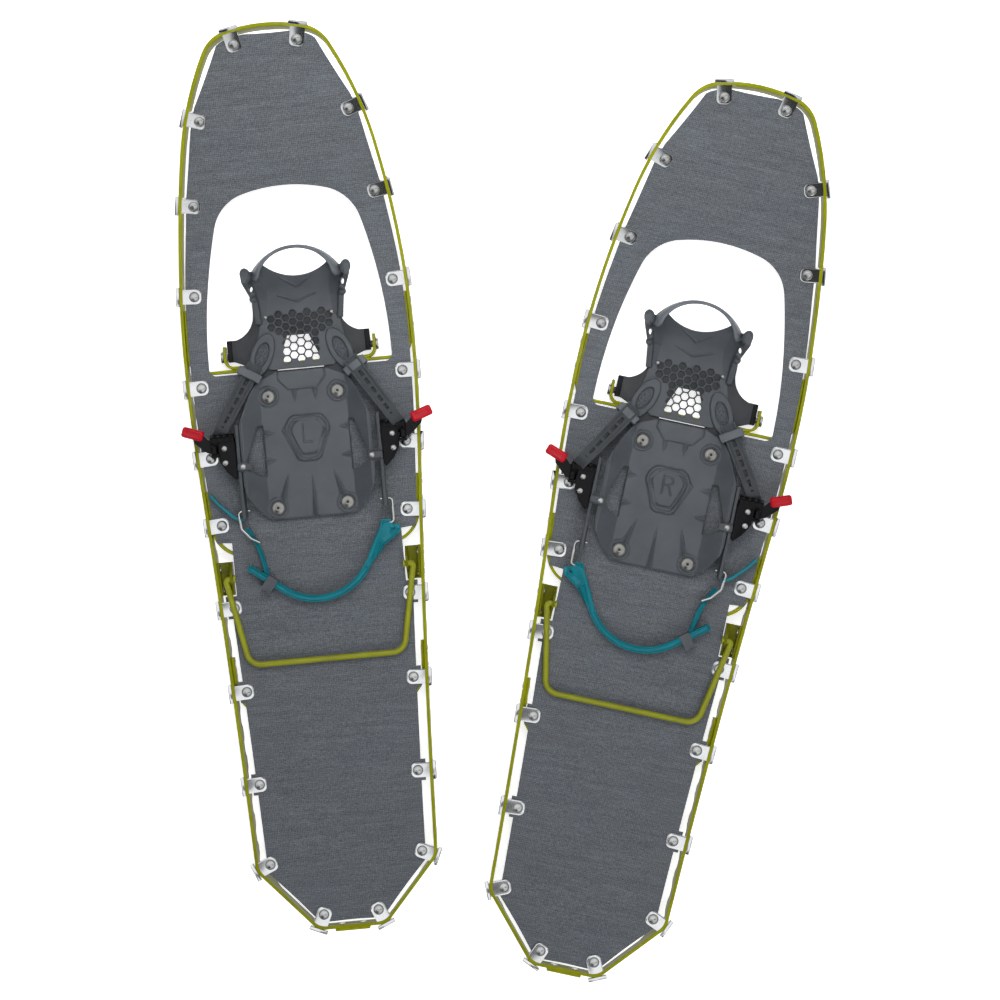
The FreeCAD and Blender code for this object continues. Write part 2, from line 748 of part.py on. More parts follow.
RIB_RIVETS = ((35.0, "front"), (14.0, "front"), (-119.0, "rear"), (-133.0, "rear"),
              (-260.0, "rear"), (-273.0, "rear"))


def side_rivet(y, level, stack):
    """A rivet through the frame's +x side from outside, its head outside."""
    x, heading = outline.at_y(y)
    rivet = domed_rivet(3.2, 1.2, 1.8, stack)
    outward = Vector(-sind(heading), cosd(heading), 0)
    turn = FreeCAD.Rotation(Vector(0, 0, -1), Vector(0, 0, 1).cross(outward) * -1, outward, "ZXY")
    rivet.Placement = FreeCAD.Placement(Vector(x, y, level), turn)
    return rivet


def make_frame_rivets():
    """Rivets that join the crossmembers, lift brackets and the tail's overlap to the frame."""
    stack = size("band_thickness") + size("rib_sheet") + 0.2
    rivets = [side_rivet(y, 14.0, stack) for y, _ in RIB_RIVETS]
    stack = size("band_thickness") + size("lift_plate") + 0.4
    rivets += [side_rivet(size("bail_axis") + step, 17.0, stack) for step in (-8, 8)]
    rivets += [rivet.mirror(Vector(), Vector(1, 0, 0)) for rivet in rivets]
    back = FreeCAD.Rotation(Vector(1, 0, 0), 90)
    for x in (-9, 9):
        rivet = domed_rivet(3.0, 1.0, 1.8, size("band_thickness") + 2.6)
        rivet.Placement = FreeCAD.Placement(Vector(x, -size("tail_reach") - 2.4, 16), back)
        rivets.append(rivet)
    item = doc.addObject("Part::Feature", "frame_rivets")
    item.Shape = Part.makeCompound(rivets)
    return item


# ---------------------------------------------------------------- binding pivot


def make_pivot_bracket():
    """U-shaped bracket on the front crossmember; its two ears hold the pivot pins."""
    half = size("ear_half")
    sheet_size = size("bracket_sheet")
    back = size("front_rib") + size("rib_sheet") / 2 + sheet_size / 2 + 0.1
    path = route(both([(half, size("ear_front")), (half, back)]), size("bracket_corner"))
    view = drawn("pivot_bracket_plan", strip(path, sheet_size / 2), at=(0, 0, size("bracket_low")))
    strap = pushed("pivot_bracket_strap", view, (0, 0, 1), "Dims.bracket_high - Dims.bracket_low")
    start = (-half - sheet_size, 0, size("pivot_height"))
    bore = rod("pivot_bracket_bore", start, "Dims.pivot_radius", 2 * (half + sheet_size))
    return cut("pivot_bracket", strap, bore)


def make_pivot_pins():
    """A headed pin at each ear, reaching in through the bushing and the crampon's ear."""
    face = size("ear_half") + size("bracket_sheet") / 2
    inner = size("wing_half") - size("crampon_sheet") - 1.5
    level = size("pivot_height")
    shank = rod("pivot_pin_shank", (inner, 0, level), "Dims.pivot_radius", face + 1 - inner)
    head = rod("pivot_pin_head", (face + 0.05, 0, level), 5.0, 2.2)
    return pair("pivot_pins", fused("pivot_pin", shank, head))


def make_pivot_bushings():
    """A plastic block on each wing's end, bored for the pin."""
    body = doc.addObject("PartDesign::Body", "pivot_bushing")
    low = size("pivot_height") - 5.5
    spots = [(-3.2, low), ("wing_front", low), ("wing_front", 24.4),
             ("-wing_rear", 24.4), ("-wing_rear", low + 3)]
    sketch = sketched(body, "bushing_side", "YZ_Plane", spots, size("wing_half") + 0.1)
    padded(body, "bushing_block", sketch, "Dims.ear_half - Dims.bracket_sheet / 2 - Dims.wing_half - 1.9")
    start = (size("wing_half") - 5, 0, size("pivot_height"))
    bore = rod("bushing_bore", start, "Dims.pivot_radius + Dims.running_gap", 20)
    return pair("pivot_bushings", cut("bushing_bored", body, bore))


# ---------------------------------------------------------------- crampon


def make_crampon():
    """Steel plate: toe teeth, hollowed wings with an ear at each end, and two rails behind."""
    wing, front, rear = size("wing_half"), size("wing_front"), size("wing_rear")
    waist, toe = size("waist_half"), size("crampon_front")
    inner, outer, end = size("rail_inner"), size("rail_outer"), size("rail_rear")
    middle = ((waist + wing - 4) / 2 - 3.2, (front + toe - 12) / 2 - 3.2)
    hollow = Part.Arc(Vector(waist, toe - 12, 0), Vector(*middle, 0), Vector(wing - 4, front, 0)).toShape()
    spots = [(wing - 4, front), (wing, front), (wing, -rear), (outer + 10, -rear - 4), (outer + 6, -24),
             (outer, -40), (outer, -end), (inner, -end), (inner, -23), (-inner, -23), (-inner, -end),
             (-outer, -end), (-outer, -40), (-outer - 6, -24), (-outer - 10, -rear - 4), (-wing, -rear),
             (-wing, front), (4 - wing, front)]
    corners = [Vector(x, y, 0) for x, y in spots]
    edges = [cap(*ends) for ends in zip(corners, corners[1:])]
    twin = hollow.mirror(Vector(), Vector(1, 0, 0))
    toe_spots = [(-waist, toe - 12), (-waist, toe - 4), (4 - waist, toe), (waist - 4, toe),
                 (waist, toe - 4), (waist, toe - 12)]
    corners = [Vector(x, y, 0) for x, y in toe_spots]
    edges += [cap(*ends) for ends in zip(corners, corners[1:])] + [hollow, twin]
    face = Part.Face(closed(edges))
    window = polygon(both([(9, 13), (18.5, -9.5), (20, -17.5)]))
    view = drawn("crampon_plan", face.cut(window), at=(0, 0, size("crampon_level")))
    plate = pushed("crampon_plate", view, (0, 0, 1), "Dims.crampon_sheet")
    top = size("crampon_level") + 1
    low = size("crampon_tip")
    toes = polygon([(-30, top)] + zigzag(-24, 24, 12, 12, 2, 12, low) + [(30, top)])
    view = drawn("crampon_toes_front", toes, FRONT_VIEW, (0, toe - size("crampon_sheet"), 0))
    toes = pushed("crampon_toes", view, (0, 1, 0), "Dims.crampon_sheet")
    cheek = polygon([(toe - 5, top)] + zigzag(toe - 11, toe - 23, 12, 11, 2, 13, low + 2) + [(toe - 29, top)])
    view = drawn("crampon_cheek_side", cheek, SIDE_VIEW, (waist - size("crampon_sheet"), 0, 0))
    cheek = pushed("crampon_cheek", view, (1, 0, 0), "Dims.crampon_sheet")
    cheek_twin = mirrored("crampon_cheek_twin", cheek)
    corner = ("Dims.wing_half - Dims.crampon_sheet", "-Dims.wing_rear", "Dims.pivot_height - 5.5")
    span = "Dims.wing_rear + Dims.wing_front"
    rise = "Dims.crampon_level + 1.5 - Dims.pivot_height + 5"
    ear = box("crampon_ear", corner, ("Dims.crampon_sheet", span, rise))
    ear_twin = mirrored("crampon_ear_twin", ear)
    whole = fused("crampon_blank", plate, toes, cheek, cheek_twin, ear, ear_twin)
    start = (-wing - 5, 0, size("pivot_height"))
    bore = rod("crampon_bore", start, "Dims.pivot_radius + Dims.running_gap", 2 * wing + 10)
    return cut("crampon", whole, bore)


# ---------------------------------------------------------------- binding plate and cradle


def floor_level():
    """Top of the crampon plate, where the moulded floor lies."""
    return size("crampon_level") + size("crampon_sheet") + 0.1


PLATE_RIBS = (
    ((2, -108), (4.2, -139), (-0.4, -139)),
    ((-18.4, -104), (-21.5, -125), (-26.5, -122.5)),
    ((20.6, -104), (28.7, -122.5), (23.7, -125)),
    ((-7, -42), (-9, -34), (-5, -34)),
    ((10.5, -42), (8.5, -34), (12.5, -34)),
    ((-27, -68), (-35.5, -71), (-35.5, -65)),
    ((-27, -91), (-35.5, -94), (-35.5, -88)),
    ((28.5, -67), (36, -64), (36, -70)),
    ((28.5, -91), (36, -88), (36, -94)),
)


def raised(name, triangles, level):
    """Low raised wedges on a flat floor."""
    wedges = []
    for corners in triangles:
        face = polygon(corners)
        face.translate(Vector(0, 0, level - 0.1))
        wedges.append(face.extrude(Vector(0, 0, 1.0)))
    item = doc.addObject("Part::Feature", name)
    item.Shape = Part.makeCompound(wedges)
    return item


def make_binding_plate():
    """Moulded floor with a raised wing along each side, a window in each, and a raised badge ring."""
    low = floor_level()
    wall = size("plate_sheet")
    half, wing, rise = size("plate_half"), size("wing_top_half"), size("wing_rise")
    tray = polygon(both([(half, low), (wing, low + rise),
                         (wing - wall, low + rise + 1.5), (half - 1.5, low + wall)]))
    view = drawn("binding_plate_front", tray, FRONT_VIEW, (0, -size("plate_rear"), 0))
    tray = pushed("binding_plate_tray", view, (0, 1, 0), "Dims.plate_rear - Dims.plate_front")
    front, rear = size("plate_front"), size("plate_rear")
    spots = [(22, -front), (38, -front - 7), (45, -front - 18), (wing + 1, -63), (wing + 1, -104),
             (wing - 2, -118), (half + 9, -129), (half - 4, -rear - 1)]
    shape = drawn("binding_plate_plan", polygon(both(spots)))
    prism = pushed("binding_plate_prism", shape, (0, 0, 1), TALL)
    hole = polygon([(36, -61), (40.5, -61), (50, -88), (50, -97), (42, -103), (36, -104)])
    hole = pushed("binding_plate_window", drawn("binding_plate_window_plan", hole), (0, 0, 1), TALL)
    windows = pair("binding_plate_windows", hole)
    pressed = cut("binding_plate_open", common("binding_plate_shell", tray, prism), windows)
    top = low + wall
    badge = both([(12.5, -56), (20, -66.5), (8.5, -92.5)])
    ring = polygon(badge).cut(polygon([(0.8 * x, -72.6 + 0.8 * (y + 72.6)) for x, y in badge]))
    ring = drawn("badge_plan", ring, at=(0, 0, top - 0.1))
    ring = pushed("badge_ring", ring, (0, 0, 1), 1.1)
    flap = polygon(both([(19, -front), (19.5, -front - 6), (12, -front - 15)]))
    flap = drawn("flap_plan", flap, at=(0, 0, top - 0.1))
    flap = pushed("flap_pad", flap, (0, 0, 1), 0.9)
    return fused("binding_plate", pressed, ring, flap, raised("plate_ribs", PLATE_RIBS, top))


def make_plate_screws():
    """Four domed screws through the floor and the crampon's rails."""
    top = floor_level() + size("plate_sheet")
    screws = []
    for reach in ("screw_front", "screw_rear"):
        screw = domed_rivet(size("screw_head"), 2.4, 2.5, top - size("crampon_level") - 0.4)
        socket = Part.makeCylinder(1.9, 3, Vector(0, 0, 1.0))
        screw = screw.cut(socket)
        screw.translate(Vector(size("screw_half"), -size(reach), top + 0.05))
        screws += [screw, screw.mirror(Vector(), Vector(1, 0, 0))]
    item = doc.addObject("Part::Feature", "plate_screws")
    item.Shape = Part.makeCompound([screw.Solids[0] for screw in screws])
    return item


def leaned(x, y):
    """Where a point of the cradle lies: its middle line leans towards the other foot."""
    return x + size("cradle_shift") + y * tand(size("cradle_lean")), y


def honeycomb(low):
    """Hexagonal cells over the cradle's floor, as tall prisms."""
    pitch, across = size("cell_pitch"), size("cell_across")
    step = pitch * cosd(30)
    radius = across / 2 / cosd(30)
    cells = []
    columns = int((size("cradle_half") - 6) / step)
    for column in range(-columns, columns + 1):
        shift = pitch / 2 if column % 2 else 0.0
        count = int((size("cradle_bend") + 6) / pitch) + 1
        for number in range(count):
            x = column * step
            y = -7.5 + shift + number * pitch
            corners = [(x + radius * cosd(60 * k), y + radius * sind(60 * k)) for k in range(6)]
            in_pad = abs(x) > 17 and y < 16
            if not in_pad:
                cell = polygon(corners)
                cell.translate(Vector(*leaned(0, y), low - 2) - Vector(0, y, 0))
                cells.append(cell.extrude(Vector(0, 0, size("plate_sheet") + 20)))
    return Part.makeCompound(cells)


def make_horn(side):
    """One horn: a wall that leans outwards and rises towards the front, with a round hole."""
    low, top = floor_level(), size("horn_top")
    half = size("cradle_half")
    path = route([leaned(side * (half + x), y) for x, y in ((0.5, 24), (0.8, 42), (4.0, 66))], 60)
    face = drawn(f"horn_plan_{side}", strip(path, size("horn_sheet") / 2), at=(0, 0, low))
    wall = pushed(f"horn_wall_{side}", face, (0.2 * side, 0, 1), 1.2 * (top - low))
    spots = [(22, low), (22, low + 5), (44, 39), (57, top),
             (65, top), (68, top - 5), (60, low + 16), (46, low)]
    view = pushed(f"horn_side_{side}", drawn(f"horn_side_view_{side}", polygon(spots), SIDE_VIEW),
                  (1, 0, 0), WIDE, True)
    bore = rod(f"horn_hole_{side}", (-WIDE / 2, 55, 42), 1.8, WIDE)
    return cut(f"horn_{side}", common(f"horn_blank_{side}", wall, view), bore)


def make_pad(side):
    """An oval loop on the cradle's rear corner, where an instep strap starts."""
    low, wall = floor_level(), size("plate_sheet")
    ring = Part.makeCylinder(9, wall + 3.4).cut(Part.makeCylinder(5.2, wall + 8, Vector(0, 0, wall + 0.2)))
    stretch = FreeCAD.Matrix()
    stretch.scale(2.1, 1, 1)
    pad = doc.addObject("Part::Feature", f"cradle_pad_{side}")
    pad.Shape = ring.transformGeometry(stretch)
    turn = FreeCAD.Rotation(Vector(0, 0, 1), -66 * side)
    pad.Placement = FreeCAD.Placement(Vector(33 * side + 2, -2, low), turn)
    return pad


def make_toe_cradle():
    """Moulded cradle: honeycomb floor that rises at the front, two horns and two strap pads."""
    low, wall = floor_level(), size("plate_sheet")
    half, rear, front = size("cradle_half"), size("cradle_rear"), size("cradle_front")
    path = Trace(-rear, low + wall / 2, 0).line(size("cradle_bend") + rear)
    path.arc(size("cradle_bend_radius"), size("cradle_slope"))
    path.line((front + MARGIN - path.x) / cosd(path.heading))
    view = drawn("cradle_side", strip(path, wall / 2), SIDE_VIEW)
    scoop = pushed("cradle_sheet", view, (1, 0, 0), WIDE, True)
    spots = [(half - 4, front), (half + 2.5, 60), (half + 1.5, 40),
             (half, 28), (half + 6, 0), (half - 6, -rear)]
    corners = [Vector(*leaned(x, y), 0) for x, y in both(spots)]
    edges = [cap(*ends) for ends in zip(corners, corners[1:])]
    middle = Vector(*leaned(0, front - size("cradle_dip")), 0)
    dip = Part.Arc(corners[-1], middle, corners[0]).toShape()
    prism = pushed("cradle_prism", drawn("cradle_plan", Part.Face(closed(edges + [dip]))), (0, 0, 1), TALL)
    cells = doc.addObject("Part::Feature", "cradle_cells")
    cells.Shape = honeycomb(low)
    floor = cut("cradle_floor", common("cradle_scoop", scoop, prism), cells)
    return fused("toe_cradle", floor, make_horn(1), make_horn(-1), make_pad(1), make_pad(-1))


def make_toe_strap():
    """Elastic strap that arches in front of the toe between the horns."""
    half, end = size("toe_strap_half"), size("toe_strap_end")
    drop = size("toe_strap_apex") - end
    radius = (half * half + drop * drop) / (2 * drop)
    turn = math.degrees(math.asin(half / radius))
    level = size("horn_top") - size("toe_strap_width") - 1
    path = Trace(*leaned(-half, end), turn - size("cradle_lean") / 2).arc(radius, -2 * turn)
    view = drawn("toe_strap_plan", strip(path, size("toe_strap_sheet") / 2), at=(0, 0, level))
    return pushed("toe_strap", view, (0, 0, 1), "Dims.toe_strap_width")


def instep_place(shift=0.0, grow=0.0):
    """Where an instep strap starts, and its slope towards the buckle."""
    turn = FreeCAD.Rotation(-58, -8, 0)
    width = size("instep_width") + 2 * grow
    base = Vector(40, -11, floor_level() + 7.2) + turn.multVec(Vector(shift, -width / 2, -grow))
    return FreeCAD.Placement(base, turn)


def make_instep_straps():
    """Ladder straps from the cradle's pads to the buckles, with a row of slots."""
    strap = box("instep_strap_blank", None, ("Dims.instep_length", "Dims.instep_width", "Dims.instep_sheet"),
                instep_place())
    slots = doc.addObject("Part::Feature", "instep_slots")
    tools = [Part.makeBox(5, 1.8, 8, Vector(12 + 10 * number, size("instep_width") / 2 - 0.9, -2))
             for number in range(4)]
    slots.Shape = Part.makeCompound(tools)
    slots.Placement = instep_place()
    return pair("instep_straps", cut("instep_strap", strap, slots), INSTEP_SHIFT)


def make_strap_keepers():
    """A loop round each instep strap."""
    outer = box("keeper_block", None, (7.0, "Dims.instep_width + 8", "Dims.instep_sheet + 3.6"),
                instep_place(5.0, 4.0))
    outer.Placement.Base.z += 2.2
    inner = box("keeper_hole", None, (20.0, "Dims.instep_width + 0.6", "Dims.instep_sheet + 0.6"),
                instep_place(-4.0, 0.3))
    return pair("strap_keepers", cut("strap_keeper", outer, inner), INSTEP_SHIFT)


def upper_shift():
    return size("upper_shift"), 0


def tab_level():
    """Top of the tab that joins a side arm to the plate's wing."""
    return floor_level() + size("wing_rise") + 3.6


def make_side_arms():
    """Moulded arms that run back along the wings to the heel strap's hooks."""
    half = size("arm_half")
    front, rear = size("arm_front"), size("arm_rear")
    path = route([(half - 0.4, -front), (half + 0.2, -(front + rear) / 2), (half - 0.4, -rear)], 900)
    view = drawn("side_arm_plan", strip(path, size("arm_sheet") / 2), at=(0, 0, size("arm_low")))
    arm = pushed("side_arm_blank", view, (0, 0, 1), "Dims.arm_height")
    start = (half - 6, -size("hook_axis"), size("hook_level"))
    bore = rod("side_arm_bore", start, "Dims.hook_wire + Dims.running_gap", 12)
    top = tab_level()
    outer = half + size("arm_sheet") / 2
    riser = box("side_arm_riser", (outer - size("arm_sheet"), -100, top - 5), ("Dims.arm_sheet", 12, 5))
    tab = box("side_arm_tab", (48.5, -100, top - 2), (outer - 48.5, 12, 2))
    whole = fused("side_arm_solid", arm, riser, tab)
    return pair("side_arms", cut("side_arm", whole, bore), upper_shift())


def make_buckles():
    """Buckle base on each arm: a long block, rounded at the front, with two ears for the lever."""
    body = doc.addObject("PartDesign::Body", "buckle_base")
    inner = size("arm_half") + size("arm_sheet") / 2 + 0.3
    outer = inner + size("buckle_width")
    spots = [(inner + 1, -64.5), (outer - 2, -64.5), (outer, -67), (outer, -88), (outer - 6, -98),
             (inner + 2, -104), (inner, -102), (inner, -67)]
    base = sketched(body, "buckle_plan", "XY_Plane", spots, size("buckle_low"))
    padded(body, "buckle_pad", base, "Dims.buckle_height")
    reach = size("lever_axis") + 3.0 - outer
    low = size("lever_level") - 3.4
    ears = [box(f"buckle_ear_{number}", (outer - 0.5, y, low), (reach + 0.5, 2.4, 6.8))
            for number, y in enumerate((-69.0, -84.4))]
    whole = fused("buckle_blank", body, *ears)
    start = (size("lever_axis"), -90, size("lever_level"))
    bore = rod("buckle_bore", start, "Dims.lever_pin + Dims.running_gap", 30, ALONG_Y)
    return pair("buckles", cut("buckle", whole, bore), upper_shift())


def make_lever():
    """Lever: hub on a pin between the buckle's ears, and an arm that points outwards."""
    axis, level = size("lever_axis"), size("lever_level")
    hub = rod("lever_hub_bar", (axis, -81.7, level), "Dims.lever_hub", 12.4, ALONG_Y)
    pin = rod("lever_pin_bar", (axis, -84.2, level), "Dims.lever_pin", 17.4, ALONG_Y)
    body = doc.addObject("PartDesign::Body", "lever_arm")
    spots = [(axis + 1, -81), (axis + 6, -80), (axis + 16, -71), (axis + 18, -64),
             (axis + 12, -61), (axis + 4.2, -69.6), (axis + 1, -70)]
    arm = sketched(body, "lever_plan", "XY_Plane", spots, level - 2)
    padded(body, "lever_pad", arm, 4.0)
    return fused("lever_inner", hub, pin, body)


def make_grip():
    """Soft boxy grip over the lever's end, chamfered all round."""
    grip = doc.addObject("Part::Feature", "grip_inner")
    long, wide, high = size("grip_length"), size("grip_width"), size("grip_height")
    block = Part.makeBox(long, wide, high, Vector(-long / 2, -wide / 2, -high / 2))
    grip.Shape = block.makeChamfer(size("grip_edge"), block.Edges)
    turn = FreeCAD.Rotation(Vector(0, 0, 1), size("grip_turn"))
    place = Vector(size("lever_axis") + size("grip_out"), -size("grip_behind"), size("lever_level"))
    grip.Placement = FreeCAD.Placement(place, turn)
    return grip


def shifted_twin(name, item):
    """The mirror image of a lever or grip, moved with the arms."""
    twin = mirrored(name, item)
    twin.Placement.Base = Vector(size("upper_shift"), 0, 0)
    return twin


def moved(name, item):
    """The same piece, moved with the arms."""
    whole = group(name, item)
    whole.Placement.Base = Vector(size("upper_shift"), 0, 0)
    return whole


def make_binding_rivets():
    """Rivets that join each arm to its wing, and two in each buckle."""
    top = size("buckle_low") + size("buckle_height")
    rivets = []
    shift = size("upper_shift")
    for side in (-1, 1):
        rivet = domed_rivet(2.8, 1.1, 1.5, 6)
        rivet.translate(Vector(side * (size("wing_top_half") - 1.6), -94, tab_level() + 0.05))
        rivets.append(rivet)
        for y in (-77.5, -89.5):
            rivet = domed_rivet(2.8, 1.0, 1.3, 7)
            rivet.translate(Vector(side * (size("arm_half") + 10.8) + shift, y, top + 0.05))
            rivets.append(rivet)
    item = doc.addObject("Part::Feature", "binding_rivets")
    item.Shape = Part.makeCompound(rivets)
    return item


# ---------------------------------------------------------------- heel strap


def strap_end():
    """How far back the hooks meet the strap."""
    return size("hook_axis") + size("hook_reach")


def heel_route():
    """From the eyelet round the heel, through the keeper to the strap's end."""
    path = Trace(61.5, -strap_end() - 2.4, -123)
    return path.line(size("heel_side")).arc(size("heel_radius"), -size("heel_turn")).line(35)


def thin_route(clear=0.0):
    """The strap's thin end, from the keeper to the outer hook."""
    return route([(-43.6, -185.5 - clear), (-46.7, -170), (-50.0, -159), (-57.1, -146)], 30)


def make_heel_strap():
    """Elastic strap round the heel, with a flat eyelet for the inner hook."""
    level, width = size("heel_level"), size("heel_width")
    view = drawn("heel_strap_plan", strip(heel_route(), size("heel_sheet") / 2), at=(0, 0, level))
    band = pushed("heel_strap_band", view, (0, 0, 1), "Dims.heel_width")
    rear = -strap_end()
    spots = [(56.5, rear + 2.6), (63.4, rear + 2.6), (63.4, rear - 1.7), (70, rear - 2.4), (71.6, rear - 5),
             (69.5, rear - 9), (57, rear - 18), (52, rear - 12)]
    thick = 4.4
    low = size("hook_level") - thick / 2
    tab = drawn("heel_eyelet_plan", polygon(spots), at=(0, 0, low))
    tab = pushed("heel_eyelet", tab, (0, 0, 1), thick)
    window = polygon([(64, rear - 8), (68.6, rear - 5.6), (68.2, rear - 4.2), (64, rear - 4.4)])
    window = pushed("heel_eyelet_window", drawn("heel_window_plan", window), (0, 0, 1), TALL)
    bore = rod("heel_strap_bore", (50, rear, size("hook_level")), "Dims.hook_wire + 0.3", 30)
    solid = fused("heel_strap_solid", band, cut("heel_eyelet_open", tab, window))
    view = drawn("heel_thin_plan", strip(thin_route(), size("thin_sheet") / 2), at=(0, 0, level))
    thin = pushed("heel_strap_thin", view, (0, 0, 1), "Dims.thin_width")
    return group("heel_strap", cut("heel_strap_bored", solid, bore), thin)


def make_heel_keeper():
    """Block that holds the strap's two ends together."""
    level = size("heel_level")
    turn = FreeCAD.Rotation(Vector(0, 0, 1), 143)
    base = Vector(-34.6, -191.6, level - 0.5)
    block = box("heel_keeper_block", None, (9.0, 13.0, "Dims.heel_width + 2"), FreeCAD.Placement(base, turn))
    band = drawn("heel_keeper_band", strip(heel_route(), size("heel_sheet") / 2 + 0.3), at=(0, 0, level - 0.2))
    tool = pushed("heel_keeper_tool", band, (0, 0, 1), "Dims.heel_width + 0.4")
    thin = strip(thin_route(0.4), size("thin_sheet") / 2 + 0.3)
    thin = drawn("heel_keeper_thin", thin, at=(0, 0, level - 0.2))
    thin = pushed("heel_keeper_thin_tool", thin, (0, 0, 1), "Dims.thin_width + 0.4")
    return cut("heel_strap_keeper", block, fused("heel_keeper_tools", tool, thin))


def make_heel_tail():
    """The strap's loose tail beyond the outer hook."""
    path = route([(-58.9, -138.6), (-66.2, -136.4), (-78.3, -124.3), (-85.6, -115)], 12)
    view = drawn("heel_tail_plan", strip(path, size("thin_sheet") / 2), at=(0, 0, size("heel_level") + 1.8))
    return pushed("heel_strap_tail", view, (0, 0, 1), "Dims.thin_width")


def wire(name, path, radius, level):
    """A round wire along a level path."""
    line = Part.Wire(path.edges())
    line.translate(Vector(0, 0, level))
    start = line.Edges[0].firstVertex().Point
    x, y, heading = path.steps[0][:3]
    circle = Part.makeCircle(radius, Vector(x, y, level), Vector(cosd(heading), sind(heading), 0))
    item = doc.addObject("Part::Feature", name)
    item.Shape = line.makePipeShell([Part.Wire(circle)], True, False)
    return item


def make_strap_hooks():
    """Wire hooks from the arms' ends to the heel strap, turning in the arms."""
    axis, rear, half = size("hook_axis"), strap_end(), size("hook_half")
    shift = size("upper_shift")
    inner = size("arm_half") - 4.5
    level = size("hook_level")
    path = route([(inner + shift, -axis), (half + shift, -axis), (half + shift, -rear), (half - 7, -rear)], 3.0)
    hook = wire("hook_wire_inner", path, size("hook_wire"), level)
    spots = [(shift - inner, -axis), (shift - half, -axis), (shift - half + 1.5, -axis - 15),
             (-54, -rear - 3), (-47, -rear - 7)]
    outer = wire("hook_wire_outer", route(spots, 3.0), size("hook_wire"), level)
    return group("strap_hooks", hook, outer)


# ---------------------------------------------------------------- heel lift


def bail_route():
    """The lift wire: in at one bracket, back, across and forward to the other bracket."""
    axis, half = size("bail_axis"), size("bail_half")
    stub = half - 7.2
    bar_half, bar = size("bail_bar_half"), size("bail_bar")
    return both([(stub, axis), (half, axis), (bar_half, bar)])


def make_lift_bail():
    """Wire bail that folds up under the heel; a head holds each end in its bracket."""
    points = bail_route()
    axis, half = size("bail_axis"), size("bail_half")
    bar_half, bar = size("bail_bar_half"), size("bail_bar")
    heading = math.degrees(math.atan2(bar - axis, bar_half - half))
    bend = 2.6
    corner = size("bail_corner")
    path = Trace(*points[0], 0)
    turn = heading
    spent = abs(bend * tand(turn / 2))
    path.line(half - points[0][0] - spent).arc(bend, turn)
    swing = -180 - heading
    used = abs(corner * tand(swing / 2))
    path.line(math.dist((half, axis), (bar_half, bar)) - spent - used).arc(corner, swing)
    path.line(path.x)
    whole = [path.edges(), [edge.mirror(Vector(), Vector(1, 0, 0)) for edge in path.edges()]]
    line = closed(whole[0] + whole[1])
    line.translate(Vector(0, 0, size("bail_level")))
    radius = size("bail_wire")
    start = Vector(points[0][0], axis, size("bail_level"))
    circle = Part.Wire(Part.makeCircle(radius, start, Vector(1, 0, 0)))
    rod_shape = line.makePipeShell([circle], True, False)
    item = doc.addObject("Part::Feature", "bail_rod")
    item.Shape = rod_shape
    head = rod("bail_head", (points[0][0] - 1.2, axis, size("bail_level")), "Dims.bail_wire + 1", 1.4)
    return fused("lift_bail", item, head, mirrored("bail_head_twin", head))


def make_lift_brackets():
    """Channels inside the frame: an outer plate on the frame, a web, and a plate for the bail."""
    front, rear = size("lift_front"), size("lift_rear")
    axis = size("bail_axis")
    plate = size("lift_plate")
    low, high = size("lift_low"), size("lift_high")
    inner = size("bail_half") - size("bail_wire") - 1.7 - plate
    x_axis, heading = outline.at_y(axis, -size("band_thickness") - 0.15)
    outer_face = Trace(*outline.at_y(front, -size("band_thickness") - 0.15)[:1], front, heading)
    outer_face.line((front - rear) / -sind(heading))
    wall = pushed("lift_wall", drawn("lift_wall_plan", strip(outer_face, 0, -plate), at=(0, 0, low)), (0, 0, 1),
                  "Dims.frame_height - 1 - Dims.lift_low")
    web = polygon([(inner, front), (x_axis - 0.6, front), (x_axis - 1.2, rear), (inner, rear)])
    web = pushed("lift_web", drawn("lift_web_plan", web, at=(0, 0, low)), (0, 0, 1), "Dims.lift_plate")
    side = polygon([(rear, low), (front, low), (front, low + 8), (axis + 6, high), (axis - 3, high),
                    (axis - 6.5, high - 9), (rear, low + 7)])
    side = pushed("lift_ear", drawn("lift_ear_side", side, SIDE_VIEW, (inner, 0, 0)), (1, 0, 0), "Dims.lift_plate")
    whole = fused("lift_bracket_blank", wall, web, side)
    bore = rod("lift_bore", (inner - 5, axis, size("bail_level")), "Dims.bail_wire + Dims.running_gap", 9)
    return pair("lift_brackets", cut("lift_bracket", whole, bore))


# ---------------------------------------------------------------- the pair


def make_rear_ribs():
    middle = make_rib("middle_rib_bar", "middle_rib", "middle_rib_arm")
    return group("rear_crossmembers", middle, make_rib("rear_rib_bar", "rear_rib", "rear_rib_arm"))


